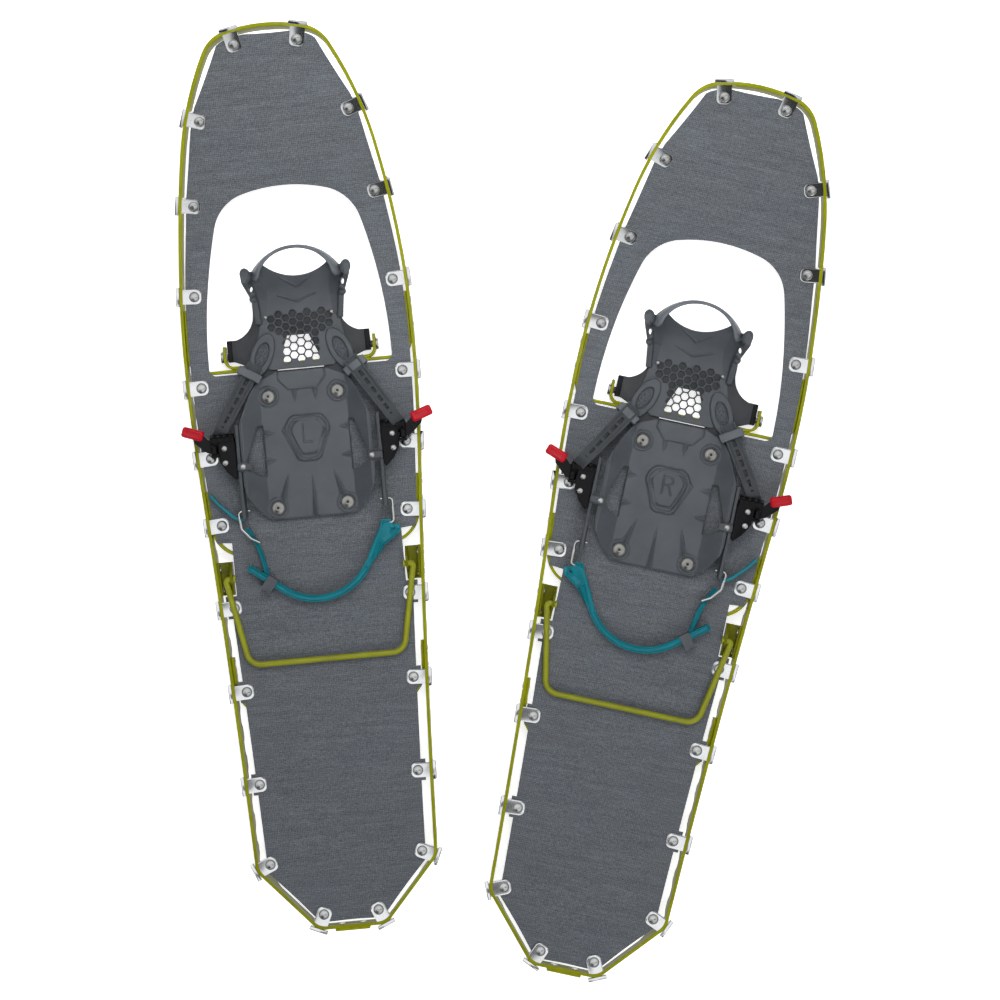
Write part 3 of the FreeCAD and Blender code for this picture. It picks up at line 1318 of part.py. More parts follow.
lever = make_lever()
grip = make_grip()
PIECES = (
    ("frame", make_frame()),
    ("frame_rivets", make_frame_rivets()),
    ("deck", make_deck()),
    ("deck_clips", make_deck_clips()),
    ("deck_rivets", make_deck_rivets()),
    ("front_crossmember", make_rib("front_crossmember", "front_rib", "front_rib_arm", "front_rib_corner")),
    ("rear_crossmembers", make_rear_ribs()),
    ("pivot_bracket", make_pivot_bracket()),
    ("pivot_pins", make_pivot_pins()),
    ("pivot_bushings", make_pivot_bushings()),
    ("crampon", make_crampon()),
    ("binding_plate", make_binding_plate()),
    ("plate_screws", make_plate_screws()),
    ("toe_cradle", make_toe_cradle()),
    ("toe_strap", make_toe_strap()),
    ("instep_straps", make_instep_straps()),
    ("strap_keepers", make_strap_keepers()),
    ("side_arms", make_side_arms()),
    ("binding_rivets", make_binding_rivets()),
    ("buckles", make_buckles()),
    ("lever_inner", moved("lever_inner_moved", lever)),
    ("lever_outer", shifted_twin("lever_outer_twin", lever)),
    ("grip_inner", moved("grip_inner_moved", grip)),
    ("grip_outer", shifted_twin("grip_outer_twin", grip)),
    ("heel_strap", make_heel_strap()),
    ("heel_strap_keeper", make_heel_keeper()),
    ("heel_strap_tail", make_heel_tail()),
    ("strap_hooks", make_strap_hooks()),
    ("lift_bail", make_lift_bail()),
    ("lift_brackets", make_lift_brackets()),
)


nodes = []
twins = []
for name, piece in PIECES:
    piece.Label = f"left_{name}"
    twin = mirrored(f"right_{name}", piece)
    twin.Label = f"right_{name}"
    turn = FreeCAD.Rotation(Vector(0, 0, 1), size("right_turn"))
    twin.Placement = FreeCAD.Placement(Vector(size("pair_gap_x"), size("pair_gap_y"), 0), turn)
    nodes += [piece, twin]
    twins.append(twin)
doc.recompute()

pair_box = FreeCAD.BoundBox()
for node in nodes:
    pair_box.add(node.Shape.optimalBoundingBox(False))
shift = FreeCAD.Placement(Vector(-pair_box.Center.x, -pair_box.Center.y, 0), LEVEL)
for _, piece in PIECES:
    piece.Placement = shift.multiply(piece.Placement)
for twin in twins:
    twin.Base = shift.Base
    twin.Placement = shift.multiply(twin.Placement).multiply(shift.inverse())
doc.recompute()

for item in doc.Objects:
    if "Invalid" in item.State or "Error" in item.State:
        raise RuntimeError(f"{item.Label} failed: {item.State}")
os.makedirs("parts", exist_ok=True)
for node in nodes:
    if node.Shape.isNull() or not node.Shape.isValid():
        raise RuntimeError(f"{node.Label} has no valid shape")
    node.Shape.exportStep(f"parts/{node.Label}.step")
print("left pivot at", shift.Base.x, shift.Base.y)
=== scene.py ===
"""Snowshoes: the finish of every surface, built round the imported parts."""

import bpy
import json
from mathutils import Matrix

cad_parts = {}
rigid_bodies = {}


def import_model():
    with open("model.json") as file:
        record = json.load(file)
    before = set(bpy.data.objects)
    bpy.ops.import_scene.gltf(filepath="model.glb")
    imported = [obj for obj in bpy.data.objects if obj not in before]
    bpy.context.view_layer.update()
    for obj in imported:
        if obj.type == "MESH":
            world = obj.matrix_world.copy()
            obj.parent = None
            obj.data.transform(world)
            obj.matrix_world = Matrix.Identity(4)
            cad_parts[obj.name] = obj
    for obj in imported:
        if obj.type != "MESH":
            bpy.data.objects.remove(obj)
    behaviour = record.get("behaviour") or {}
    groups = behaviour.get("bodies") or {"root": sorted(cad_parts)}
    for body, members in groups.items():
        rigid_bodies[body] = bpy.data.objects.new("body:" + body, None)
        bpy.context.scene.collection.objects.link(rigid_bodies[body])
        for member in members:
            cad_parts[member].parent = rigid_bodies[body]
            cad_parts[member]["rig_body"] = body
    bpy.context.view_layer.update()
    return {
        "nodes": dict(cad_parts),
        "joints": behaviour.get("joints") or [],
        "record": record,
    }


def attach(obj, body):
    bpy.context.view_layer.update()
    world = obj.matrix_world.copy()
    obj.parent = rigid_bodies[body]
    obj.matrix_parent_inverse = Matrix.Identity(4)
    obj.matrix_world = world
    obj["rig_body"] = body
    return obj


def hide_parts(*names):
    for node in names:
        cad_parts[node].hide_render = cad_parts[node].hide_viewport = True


bl_info = {
    "name": "Snowshoes",
    "version": (1, 0, 0),
    "blender": (4, 5, 0),
    "location": "3D View > Sidebar > Snowshoes",
    "description": "Builds a pair of snowshoes piece by piece round its fixed parts",
    "category": "Add Mesh",
}

import json
import math

import bmesh
import bpy
from bpy.props import FloatProperty, FloatVectorProperty, IntProperty, PointerProperty
from mathutils import Matrix, Vector, noise
from mathutils.bvhtree import BVHTree
from mathutils.kdtree import KDTree

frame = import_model()

MM = 0.001
UP = Vector((0, 0, 1))
SIDES = ("left", "right")
JOINTS = {joint["name"]: joint for joint in frame["joints"]}
SLOTS = {row["node"]: row["material_slot"] for row in frame["record"]["subparts"]}


# ---------------------------------------------------------------- places and meshes

def shoe_matrix(side):
    """A shoe's own millimetres (pivot at the origin, nose along +Y, other shoe at +X) to the row frame."""
    pivot = JOINTS[f"{side}_binding_pivot"]
    across = pivot["axis"]
    turn = math.atan2(-across[1], -across[0])
    place = Matrix.Translation((pivot["pos_m"][0], pivot["pos_m"][1], 0)) @ Matrix.Rotation(turn, 4, "Z")
    flip = -MM if side == "right" else MM
    return place @ Matrix.Diagonal((flip, MM, MM, 1))


def taken(side, *parts):
    """CAD nodes of one shoe as one form, in the shoe's own millimetres."""
    form = bmesh.new()
    for part in parts:
        form.from_mesh(frame["nodes"][f"{side}_{part}"].data)
    bmesh.ops.remove_doubles(form, verts=form.verts, dist=1e-6)
    place = shoe_matrix(side)
    bmesh.ops.transform(form, matrix=place.inverted(), verts=form.verts)
    if place.determinant() < 0:
        bmesh.ops.reverse_faces(form, faces=form.faces)
    form.normal_update()
    return form


def made(form, name):
    """A form as an object, still in its shoe's own millimetres."""
    mesh = bpy.data.meshes.new(name)
    form.to_mesh(mesh)
    form.free()
    item = bpy.data.objects.new(name, mesh)
    bpy.context.scene.collection.objects.link(item)
    return item


def modifier(item, kind, **settings):
    """A new modifier with its settings."""
    added = item.modifiers.new(kind.title(), kind)
    for key, value in settings.items():
        setattr(added, key, value)
    return added


def baked(item):
    """The object's evaluated mesh takes the place of its modifiers."""
    bpy.context.view_layer.update()
    result = item.evaluated_get(bpy.context.evaluated_depsgraph_get())
    mesh = bpy.data.meshes.new_from_object(result)
    item.modifiers.clear()
    old = item.data
    item.data = mesh
    bpy.data.meshes.remove(old)
    return item


def shaded(item, sharp_angle=35):
    """Smooth shading that breaks at sharp edges."""
    item.data.shade_smooth()
    item.data.set_sharp_from_angle(angle=math.radians(sharp_angle))
    return item


def settle(item, side, part, finish=None, replaces=True):
    """Puts a finished piece in its place, names its body, gives it its material (its slot's own when no
    finish is given) and, unless told otherwise, hides the CAD node it replaces.
    """
    place = shoe_matrix(side)
    item.data.transform(place)
    if place.determinant() < 0:
        item.data.flip_normals()
    node = f"{side}_{part}"
    slot = SLOTS[node]
    item.data.materials.clear()
    item.data.materials.append(material(finish or slot))
    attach(item, frame["nodes"][node]["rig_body"])
    if replaces:
        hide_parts(node)
    return item


# ---------------------------------------------------------------- forms

def plainer(form, angle=1.0):
    """Joins the triangles of each flat face."""
    bmesh.ops.dissolve_limit(form, angle_limit=math.radians(angle), verts=form.verts, edges=form.edges)


def coined(form, rim, depth, least):
    """Sinks the broad faces that look up, and leaves a raised rim round each."""
    plainer(form)
    faces = [face for face in form.faces if face.normal.dot(UP) > 0.88 and face.calc_area() > least]
    bmesh.ops.inset_region(form, faces=faces, thickness=rim, depth=-depth, use_boundary=True,
                           use_even_offset=True)


def machined(form, name, edge=0.0, sharp_angle=30):
    """A cut or bent metal piece with its edges broken."""
    plainer(form)
    item = made(form, name)
    if edge:
        modifier(item, "BEVEL", width=edge, segments=2, limit_method="ANGLE",
                 angle_limit=math.radians(sharp_angle), use_clamp_overlap=True)
        baked(item)
    return shaded(item)


def moulded(form, name, grain, rounds):
    """A moulded piece: its parts flow together and its edges are rounded."""
    item = made(form, name)
    modifier(item, "REMESH", mode="VOXEL", voxel_size=grain, use_smooth_shade=True)
    modifier(item, "SMOOTH", factor=0.5, iterations=rounds)
    modifier(item, "DECIMATE", ratio=0.5)
    baked(item)
    item.data.shade_smooth()
    return item


def revolved(form, profile, segments, closed=False, centre=(0, 0, 0)):
    """Turns a profile round Z. Its points are (radius, height) or (radius, height, sides) for a polygon."""
    rings = []
    for radius, height, *sides in profile:
        ring = []
        for step in range(segments if radius else 1):
            angle = math.tau * step / segments
            reach = radius
            if sides:
                sector = math.pi / sides[0]
                reach = radius * math.cos(sector) / math.cos((angle + sector) % (2 * sector) - sector)
            spot = Vector((reach * math.cos(angle), reach * math.sin(angle), height))
            ring.append(form.verts.new(spot + Vector(centre)))
        rings.append(ring)
    faces = []
    pairs = list(zip(rings, rings[1:])) + ([(rings[-1], rings[0])] if closed else [])
    for upper, lower in pairs:
        for step in range(segments):
            after = (step + 1) % segments
            if len(upper) == 1:
                corners = (upper[0], lower[step], lower[after])
            elif len(lower) == 1:
                corners = (upper[step], lower[0], upper[after])
            else:
                corners = (upper[step], lower[step], lower[after], upper[after])
            faces.append(form.faces.new(corners))
    bmesh.ops.recalc_face_normals(form, faces=faces)
    return [vert for ring in rings for vert in ring]


def ring_round(form, centre, radius, section):
    """A raised ring with a round section."""
    profile = [(radius + section * x, section * z) for x, z in circle(8)]
    revolved(form, profile, 32, closed=True, centre=centre)


def tube(form, rows):
    """A closed solid through rows of corners."""
    rings = [[form.verts.new(spot) for spot in row] for row in rows]
    faces = [form.faces.new(rings[0]), form.faces.new(rings[-1])]
    for first, second in zip(rings, rings[1:]):
        for corner in range(len(first)):
            other = (corner + 1) % len(first)
            faces.append(form.faces.new((first[corner], first[other], second[other], second[corner])))
    bmesh.ops.recalc_face_normals(form, faces=faces)


RIDGE_SINK = 0.6


def ridge(form, spots, height):
    """A raised line with sloping sides through (x, y, z, width) spots."""
    rows = []
    for number, (x, y, z, width) in enumerate(spots):
        before = Vector(spots[max(number - 1, 0)][:2])
        after = Vector(spots[min(number + 1, len(spots) - 1)][:2])
        along = (after - before).normalized()
        beside = Vector((-along.y, along.x)) * width / 2
        rows.append([(x - beside.x, y - beside.y, z - RIDGE_SINK), (x, y, z + height),
                     (x + beside.x, y + beside.y, z - RIDGE_SINK)])
    tube(form, rows)


def lump(form, centre, radii, turn=0.0):
    """An egg-shaped solid."""
    shape = Matrix.Translation(centre) @ Matrix.Rotation(turn, 4, "Z") @ Matrix.Diagonal((*radii, 1))
    bmesh.ops.create_uvsphere(form, u_segments=20, v_segments=12, radius=1, matrix=shape)


def clamped(share):
    """A share held between 0 and 1."""
    return min(max(share, 0), 1)


def between(stations, at):
    """A value that changes evenly from one (place, value) station to the next."""
    for (start, first), (end, second) in zip(stations, stations[1:]):
        if at <= end:
            break
    return first + (second - first) * clamped((at - start) / (end - start))


def circle(steps):
    """Spots evenly round a circle of radius 1."""
    return [(math.cos(math.tau * step / steps), math.sin(math.tau * step / steps)) for step in range(steps)]


def nearest_of(verts):
    """A search tree of a form's corners."""
    tree = KDTree(len(verts))
    for number, vert in enumerate(verts):
        tree.insert(vert.co, number)
    tree.balance()
    return tree


def ground_of(form):
    """A function that finds the height of the form's upper surface at a place."""
    surface = BVHTree.FromBMesh(form)

    def height(x, y):
        found = surface.ray_cast(Vector((x, y, 200)), -UP)[0]
        return found.z if found else 0.0

    return height


def islands(form):
    """The form's separate solids, as lists of faces, in the order in which the form holds them."""
    form.faces.index_update()
    reached = set()
    for first in form.faces:
        if first.index in reached:
            continue
        reached.add(first.index)
        queue = [first]
        solid = []
        while queue:
            face = queue.pop()
            solid.append(face)
            for edge in face.edges:
                for near in edge.link_faces:
                    if near.index not in reached:
                        reached.add(near.index)
                        queue.append(near)
        yield solid


def corners_of(solid):
    """A solid's corners, each once and always in the same order."""
    return list(dict.fromkeys(vert for face in solid for vert in face.verts))


# ---------------------------------------------------------------- nodes

class Value:
    """One output socket, with arithmetic."""

    def __init__(self, web, socket):
        self.web = web
        self.socket = socket

    def out(self, name):
        """Another output of the same node."""
        return Value(self.web, self.socket.node.outputs[name])

    def _maths(self, operation, first, second):
        return self.web.add("Math", {"operation": operation}, {0: first, 1: second})

    def __add__(self, other):
        return self._maths("ADD", self, other)

    def __radd__(self, other):
        return self._maths("ADD", other, self)

    def __sub__(self, other):
        return self._maths("SUBTRACT", self, other)

    def __rsub__(self, other):
        return self._maths("SUBTRACT", other, self)

    def __mul__(self, other):
        return self._maths("MULTIPLY", self, other)

    def __rmul__(self, other):
        return self._maths("MULTIPLY", other, self)


class Web:
    """The nodes of one tree."""

    prefix = ""

    def __init__(self, tree):
        self.nodes = tree.nodes
        self.links = tree.links

    def feed(self, socket, value):
        """Links a value to an input, or sets it there."""
        if isinstance(value, Value):
            self.links.new(value.socket, socket)
        elif socket.type == "RGBA":
            socket.default_value = (*value, 1)
        else:
            socket.default_value = value

    def add(self, kind, settings=None, inputs=None, output=0):
        """A new node, its settings first and then its inputs. Gives one of its outputs."""
        node = self.nodes.new(self.prefix + kind)
        for key, value in (settings or {}).items():
            setattr(node, key, value)
        for key, value in (inputs or {}).items():
            self.feed(node.inputs[key], value)
        return Value(self, node.outputs[output]) if len(node.outputs) else node


def fastener_tree():
    """Copies of one fastener at a mesh's points, each along its point's axis and turned by chance."""
    tree = bpy.data.node_groups.new("fasteners", "GeometryNodeTree")
    keys = {}
    for name, kind in (("Geometry", "Geometry"), ("Fastener", "Object"), ("Most Turn", "Float"),
                       ("Seed", "Int"), ("Finish", "Material")):
        socket = tree.interface.new_socket(name, in_out="INPUT", socket_type="NodeSocket" + kind)
        keys[name] = socket.identifier
    tree.interface.new_socket("Geometry", in_out="OUTPUT", socket_type="NodeSocketGeometry")
    web = Web(tree)
    given = web.add("NodeGroupInput")
    axis = web.add("GeometryNodeInputNamedAttribute", {"data_type": "FLOAT_VECTOR"}, {"Name": "axis"})
    chance = web.add("FunctionNodeRandomValue", {"data_type": "FLOAT"},
                     {3: given.out("Most Turn"), 8: given.out("Seed")}, output=1)
    twist = web.add("FunctionNodeAxisAngleToRotation", None, {"Axis": (0, 0, 1), "Angle": chance})
    stand = web.add("FunctionNodeAlignRotationToVector", {"axis": "Z"}, {"Vector": axis})
    facing = web.add("FunctionNodeRotateRotation", {"rotation_space": "LOCAL"},
                     {"Rotation": stand, "Rotate By": twist})
    shape = web.add("GeometryNodeObjectInfo", None, {"Object": given.out("Fastener")}, output="Geometry")
    copies = web.add("GeometryNodeInstanceOnPoints", None,
                     {"Points": given.out("Geometry"), "Instance": shape, "Rotation": facing})
    solid = web.add("GeometryNodeRealizeInstances", None, {"Geometry": copies})
    coated = web.add("GeometryNodeSetMaterial", None, {"Geometry": solid, "Material": given.out("Finish")})
    web.add("NodeGroupOutput", None, {"Geometry": coated})
    return tree, keys


FASTENERS = []


def fastened(name, seats, profile, finish, seed):
    """One turned fastener at each (place, axis) seat, all as one mesh."""
    if not FASTENERS:
        FASTENERS.append(fastener_tree())
    tree, keys = FASTENERS[0]
    form = bmesh.new()
    for place, _ in seats:
        form.verts.new(place)
    item = made(form, name)
    axes = item.data.attributes.new("axis", "FLOAT_VECTOR", "POINT")
    axes.data.foreach_set("vector", [part for _, axis in seats for part in axis])
    form = bmesh.new()
    revolved(form, profile, 24)
    pattern = shaded(made(form, f"{name}_pattern"), 40)
    copies = item.modifiers.new("Fasteners", "NODES")
    copies.node_group = tree
    for key, value in (("Fastener", pattern), ("Most Turn", math.tau), ("Seed", seed),
                       ("Finish", material(finish))):
        copies[keys[key]] = value
    baked(item)
    bpy.data.objects.remove(pattern)
    return shaded(item, 40)


def seats_of(side, part):
    """Where a node's fasteners stand: the middle under each head, the axis, and how deep each goes."""
    form = taken(side, part)
    plainer(form, 0.5)
    found = []
    for solid in islands(form):
        shares = {}
        for face in solid:
            key = tuple(round(part, 1) for part in face.normal)
            shares.setdefault(key, []).append(face)
        under = max(shares.values(), key=lambda faces: sum(face.calc_area() for face in faces))
        axis = -sum((face.normal * face.calc_area() for face in under), Vector()).normalized()
        seat = max(face.calc_center_median().dot(axis) for face in under)
        foot = min(vert.co.dot(axis) for face in solid for vert in face.verts)
        centre = sum((vert.co for face in solid for vert in face.verts), Vector())
        centre /= sum(len(face.verts) for face in solid)
        place = centre + axis * (seat - centre.dot(axis))
        found.append((place, axis, seat - foot))
    form.free()
    return found


HEAD_ARC = (20, 38, 54, 68, 80, 90)
SOCKET_SIDES = 6


def headed(head, dome, shank, depth, socket=0.0):
    """A fastener's profile from the top of its domed head to its set end, standing on height 0."""
    arc = [(head * math.sin(angle), dome * math.cos(angle)) for angle in map(math.radians, HEAD_ARC)]
    top = [(0, dome)]
    if socket:
        lip = socket + 0.6
        top = [(0, dome - 3.6), (0.35 * socket, dome - 2.4, SOCKET_SIDES), (socket, dome - 0.5, SOCKET_SIDES),
               (socket + 0.1, dome - 0.08, SOCKET_SIDES), (lip, dome - 0.02)]
        arc = [spot for spot in arc if spot[0] > lip]
    return top + arc + [(head, 0), (shank, 0), (shank, 0.9 - depth), (1.5 * shank, 0.8 - depth),
                        (1.4 * shank, 0.1 - depth), (0, -depth)]


# ---------------------------------------------------------------- materials

class Surface(Web):
    """One material's nodes."""

    prefix = "ShaderNode"

    @classmethod
    def of(cls, tree):
        """The same tools on a tree that belongs to something else."""
        web = cls.__new__(cls)
        Web.__init__(web, tree)
        return web

    def __init__(self, name):
        self.material = bpy.data.materials.new(name)
        self.material.use_nodes = True
        super().__init__(self.material.node_tree)
        self.nodes.clear()

    def place(self, scale=(1, 1, 1)):
        """Object coordinates, scaled."""
        spot = self.add("TexCoord", output="Object")
        return self.add("Mapping", inputs={"Vector": spot, "Scale": scale})

    def noise(self, vector, scale, detail=3.0, roughness=0.5):
        """Soft random patches."""
        return self.add("TexNoise", inputs={"Vector": vector, "Scale": scale, "Detail": detail,
                                            "Roughness": roughness})

    def wave(self, value):
        """A sine of the value."""
        return self.add("Math", {"operation": "SINE"}, {0: value})

    def mix(self, share, first, second):
        """One colour turning into another."""
        return self.add("Mix", {"data_type": "RGBA"}, {0: share, 6: first, 7: second}, output=2)

    def span(self, value, low, high, to_low=0.0, to_high=1.0):
        """A value's range moved to another, and clamped there."""
        return self.add("MapRange", inputs={"Value": value, "From Min": low, "From Max": high,
                                            "To Min": to_low, "To Max": to_high})

    def edges_and_creases(self, low, high):
        """How far a spot is on a convex edge, or in a crease where low is above high, from 0 to 1."""
        pointed = self.add("NewGeometry", output="Pointiness")
        return self.span(pointed, low, high)

    def bump(self, height, distance, strength):
        """A normal bent by a height."""
        return self.add("Bump", inputs={"Height": height, "Distance": distance, "Strength": strength})

    def shade(self, **inputs):
        """The surface's shader, from names such as Base_Color, and its output."""
        named = {key.replace("_", " "): value for key, value in inputs.items()}
        shader = self.add("BsdfPrincipled", inputs=named)
        self.add("OutputMaterial", inputs={"Surface": shader})
        return self.material


def tone(colour, share):
    """A colour made darker or lighter."""
    return tuple(channel * share for channel in colour)


def powder_coat(name, colour, gloss=0.12):
    """Satin powder coat: a soft orange peel, slightly uneven colour, and rubbed edges."""
    look = Surface(name)
    spot = look.place()
    peel = look.noise(spot, 900, 2.0)
    patch = look.noise(spot, 45, 4.0)
    paint = look.mix(look.span(patch, 0.35, 0.65), tone(colour, 0.88), tone(colour, 1.1))
    rubbed = look.edges_and_creases(0.53, 0.6) * look.span(look.noise(spot, 160), 0.5, 0.62)
    return look.shade(Base_Color=look.mix(rubbed * 0.35, paint, tone(colour, 1.7)),
                      Roughness=look.span(patch, 0.3, 0.7, 0.34, 0.46), Metallic=0.0,
                      Specular_IOR_Level=gloss, Normal=look.bump(peel, 0.00006, 0.5))


def bare_metal(name, colour, roughness, brushed=(1, 1, 1), dark=0.8):
    """Bare metal with fine brush marks and duller patches."""
    look = Surface(name)
    marks = look.noise(look.place(brushed), 500, 3.0)
    spot = look.place()
    patch = look.noise(spot, 90, 3.0)
    specks = look.noise(spot, 1500, 1.0)
    metal = look.mix(look.span(patch, 0.38, 0.68), tone(colour, dark), colour)
    return look.shade(Base_Color=look.mix(look.span(specks, 0.62, 0.75) * 0.4, metal, tone(colour, 0.5)),
                      Metallic=1.0, Roughness=look.span(marks, 0.3, 0.7, roughness * 0.75, roughness * 1.25),
                      Normal=look.bump(marks, 0.000003, 0.3))


def woven_deck(name, colour, pitch):
    """Coated twill: warp over weft, uneven threads, faint streaks, painted shade in the dips between threads
    and a slightly mottled coating.
    """
    look = Surface(name)
    spot = look.add("Attribute", {"attribute_name": "shoe_place"}, output="Vector")
    across = look.add("SeparateXYZ", inputs={"Vector": spot})
    along = across.out("Y")
    turn = math.tau / pitch
    warp = look.wave(across * turn)
    weft = look.wave(along * turn)
    over = look.span(look.wave((across + along) * (turn / 2)), -0.4, 0.4)
    height = (warp * over + weft * (1 - over)) * 0.5 + 0.5
    streaks = look.noise(look.add("Mapping", inputs={"Vector": spot, "Scale": (60, 700, 1)}), 1.0, 2.0)
    lines = look.noise(look.add("Mapping", inputs={"Vector": spot, "Scale": (14, 210, 1)}), 1.0, 2.0)
    grain = look.noise(spot, 760, 2.0, 0.6)
    patch = look.noise(spot, 30, 3.0)
    # thread tops paler and dips darker from the weave's height: painted shade; the streaks, grain and lines
    # are uneven thread
    light = (look.span(height, 0.0, 1.0, 0.72, 1.22) * look.span(streaks, 0.3, 0.7, 0.86, 1.14)
             * look.span(grain, 0.3, 0.7, 0.64, 1.36) * look.span(lines, 0.3, 0.7, 0.9, 1.1))
    base = look.mix(look.span(patch, 0.3, 0.7), (colour[0] * 1.015, colour[1], colour[2] * 0.97),
                    (colour[0] * 0.985, colour[1], colour[2] * 1.03))
    cloth = look.add("VectorMath", {"operation": "SCALE"}, {0: base, "Scale": light})
    return look.shade(Base_Color=cloth, Roughness=look.span(height, 0, 1, 0.66, 0.5), Specular_IOR_Level=0.4,
                      Normal=look.bump(height + streaks * 0.5, 0.00016, 0.8))


def elastomer(name, colour, roughness, stipple=0.00005, edge=1.35, mottle=0.12, ior=1.42):
    """Moulded rubber or plastic: a fine stipple, a faintly mottled skin, paler rubbed edges that are partly a
    painted highlight, and painted shade in its creases.
    """
    look = Surface(name)
    spot = look.place()
    grain = look.noise(spot, 2600, 2.0)
    rub = look.noise(spot, 55, 4.0)
    fine = look.noise(spot, 700, 2.0)
    body = look.mix(look.span(rub, 0.3, 0.7), tone(colour, 1 - mottle), tone(colour, 1 + mottle))
    body = look.mix(look.span(fine, 0.55, 0.75) * 0.3, body, tone(colour, 1.3))
    # convex edges paler: rubbed edges, partly a painted highlight
    body = look.mix(look.edges_and_creases(0.52, 0.6) * look.span(rub, 0.35, 0.6, 0.4, 1.0), body, tone(colour, edge))
    # creases darkened to 0.3 of the colour: painted shade
    body = look.mix(look.edges_and_creases(0.488, 0.42) * 0.75, body, tone(colour, 0.3))
    return look.shade(Base_Color=body, Roughness=look.span(rub, 0.3, 0.7, roughness * 0.85, roughness * 1.15),
                      IOR=ior, Normal=look.bump(grain, stipple, 0.7))


def floor_paper():
    """Pale paper that reads as white behind the object and keeps its shadow."""
    look = Surface("floor_paper")
    camera = look.add("LightPath", output="Is Camera Ray")
    seen = camera + camera.out("Is Glossy Ray") + camera.out("Is Transmission Ray")
    seen = look.add("Math", {"operation": "MINIMUM"}, {0: seen, 1: 1.0})
    return look.shade(Base_Color=(0.86, 0.86, 0.86), Roughness=0.9, Specular_IOR_Level=0.1,
                      Emission_Color=look.mix(seen, (0, 0, 0), (1, 1, 1)), Emission_Strength=0.75)


def studio_walls():
    """A soft room, white behind the object. Bright metal mirrors its ceiling and three dark panels."""
    world = bpy.data.worlds.new("studio")
    world.use_nodes = True
    world.node_tree.nodes.clear()
    room = Surface.of(world.node_tree)
    way = room.add("SeparateXYZ", inputs={"Vector": room.add("TexCoord", output="Generated")})
    along, height = way.out("Y"), way.out("Z")
    ceiling = room.span(height, 0.2, 0.95, 0.12, 1.0)
    # each panel is a range of directions: the nose clips mirror the front one, the tail clips the rest
    front = room.span(along, -0.28, -0.33) * room.span(way, -0.05, -0.08) * room.span(height, 0.45, 0.55)
    rear = room.span(along, -0.02, -0.07) * room.span(along, -0.26, -0.23) * room.span(height, 0.8, 0.86)
    inner = rear * room.span(way, 0.03, 0.06)
    outer = rear * room.span(way, -0.18, -0.22)
    mirrored = ceiling * (1 - front * 0.95 - inner * 0.85 - outer * 0.6)
    ray = room.add("LightPath", output="Is Camera Ray")
    glossy = ray.out("Is Glossy Ray")
    level = 0.3 * (1 - glossy) * (1 - ray) + glossy * mirrored + ray
    light = room.add("Background", inputs={"Color": (0.96, 0.98, 1.0), "Strength": level})
    room.add("OutputWorld", inputs={"Surface": light})
    return world


MATERIALS = {}


def material(key):
    """A finish, made once from the shoe's own colours."""
    if key not in MATERIALS:
        looks = bpy.context.scene.snowshoes
        green, deck, red = tuple(looks.frame_green), tuple(looks.deck_grey), tuple(looks.grip_red)
        grey, teal = tuple(looks.binding_grey), tuple(looks.strap_teal)
        # edge is how much paler the convex edges are: rubbed, and partly a painted highlight
        makers = {
            "frame_paint": lambda: powder_coat(key, green),
            "wire_paint": lambda: powder_coat(key, green, 0.5),
            # the frame's green at half its tone for the lift brackets: painted shade
            "frame_paint_in_painted_shade": lambda: powder_coat(key, tone(green, 0.5)),
            "clip_steel": lambda: bare_metal(key, (0.9, 0.9, 0.9), 0.12, (8, 1, 1), 0.9),
            "bright_steel": lambda: bare_metal(key, (0.72, 0.72, 0.71), 0.26),
            "screw_steel": lambda: bare_metal(key, (0.55, 0.535, 0.5), 0.32),
            "rail_steel": lambda: powder_coat(key, green),
            "wire_steel": lambda: bare_metal(key, (0.85, 0.85, 0.85), 0.18),
            "crampon_steel": lambda: elastomer(key, (0.02, 0.0215, 0.024), 0.4, edge=1.8),
            "deck_weave": lambda: woven_deck(key, deck, looks.weave_pitch),
            "binding_plastic": lambda: elastomer(key, grey, 0.42),
            "cradle_rubber": lambda: elastomer(key, tone(grey, 0.95), 0.44),
            "arm_rubber": lambda: elastomer(key, tone(grey, 0.75), 0.4, edge=2.0),
            "strap_rubber": lambda: elastomer(key, tone(grey, 0.55), 0.4, edge=1.9, ior=1.38),
            "toe_rubber": lambda: elastomer(key, tone(grey, 1.6), 0.45),
            "keeper_rubber": lambda: elastomer(key, tone(grey, 1.25), 0.4),
            "buckle_plastic": lambda: elastomer(key, (0.003, 0.003, 0.0035), 0.22, 0.00002, 3.0, ior=1.28),
            "grip_rubber": lambda: elastomer(key, red, 0.36, edge=1.15, ior=1.33),
            "teal_strap": lambda: elastomer(key, teal, 0.34, edge=1.5, ior=1.36),
        }
        MATERIALS[key] = makers[key]()
    return MATERIALS[key]


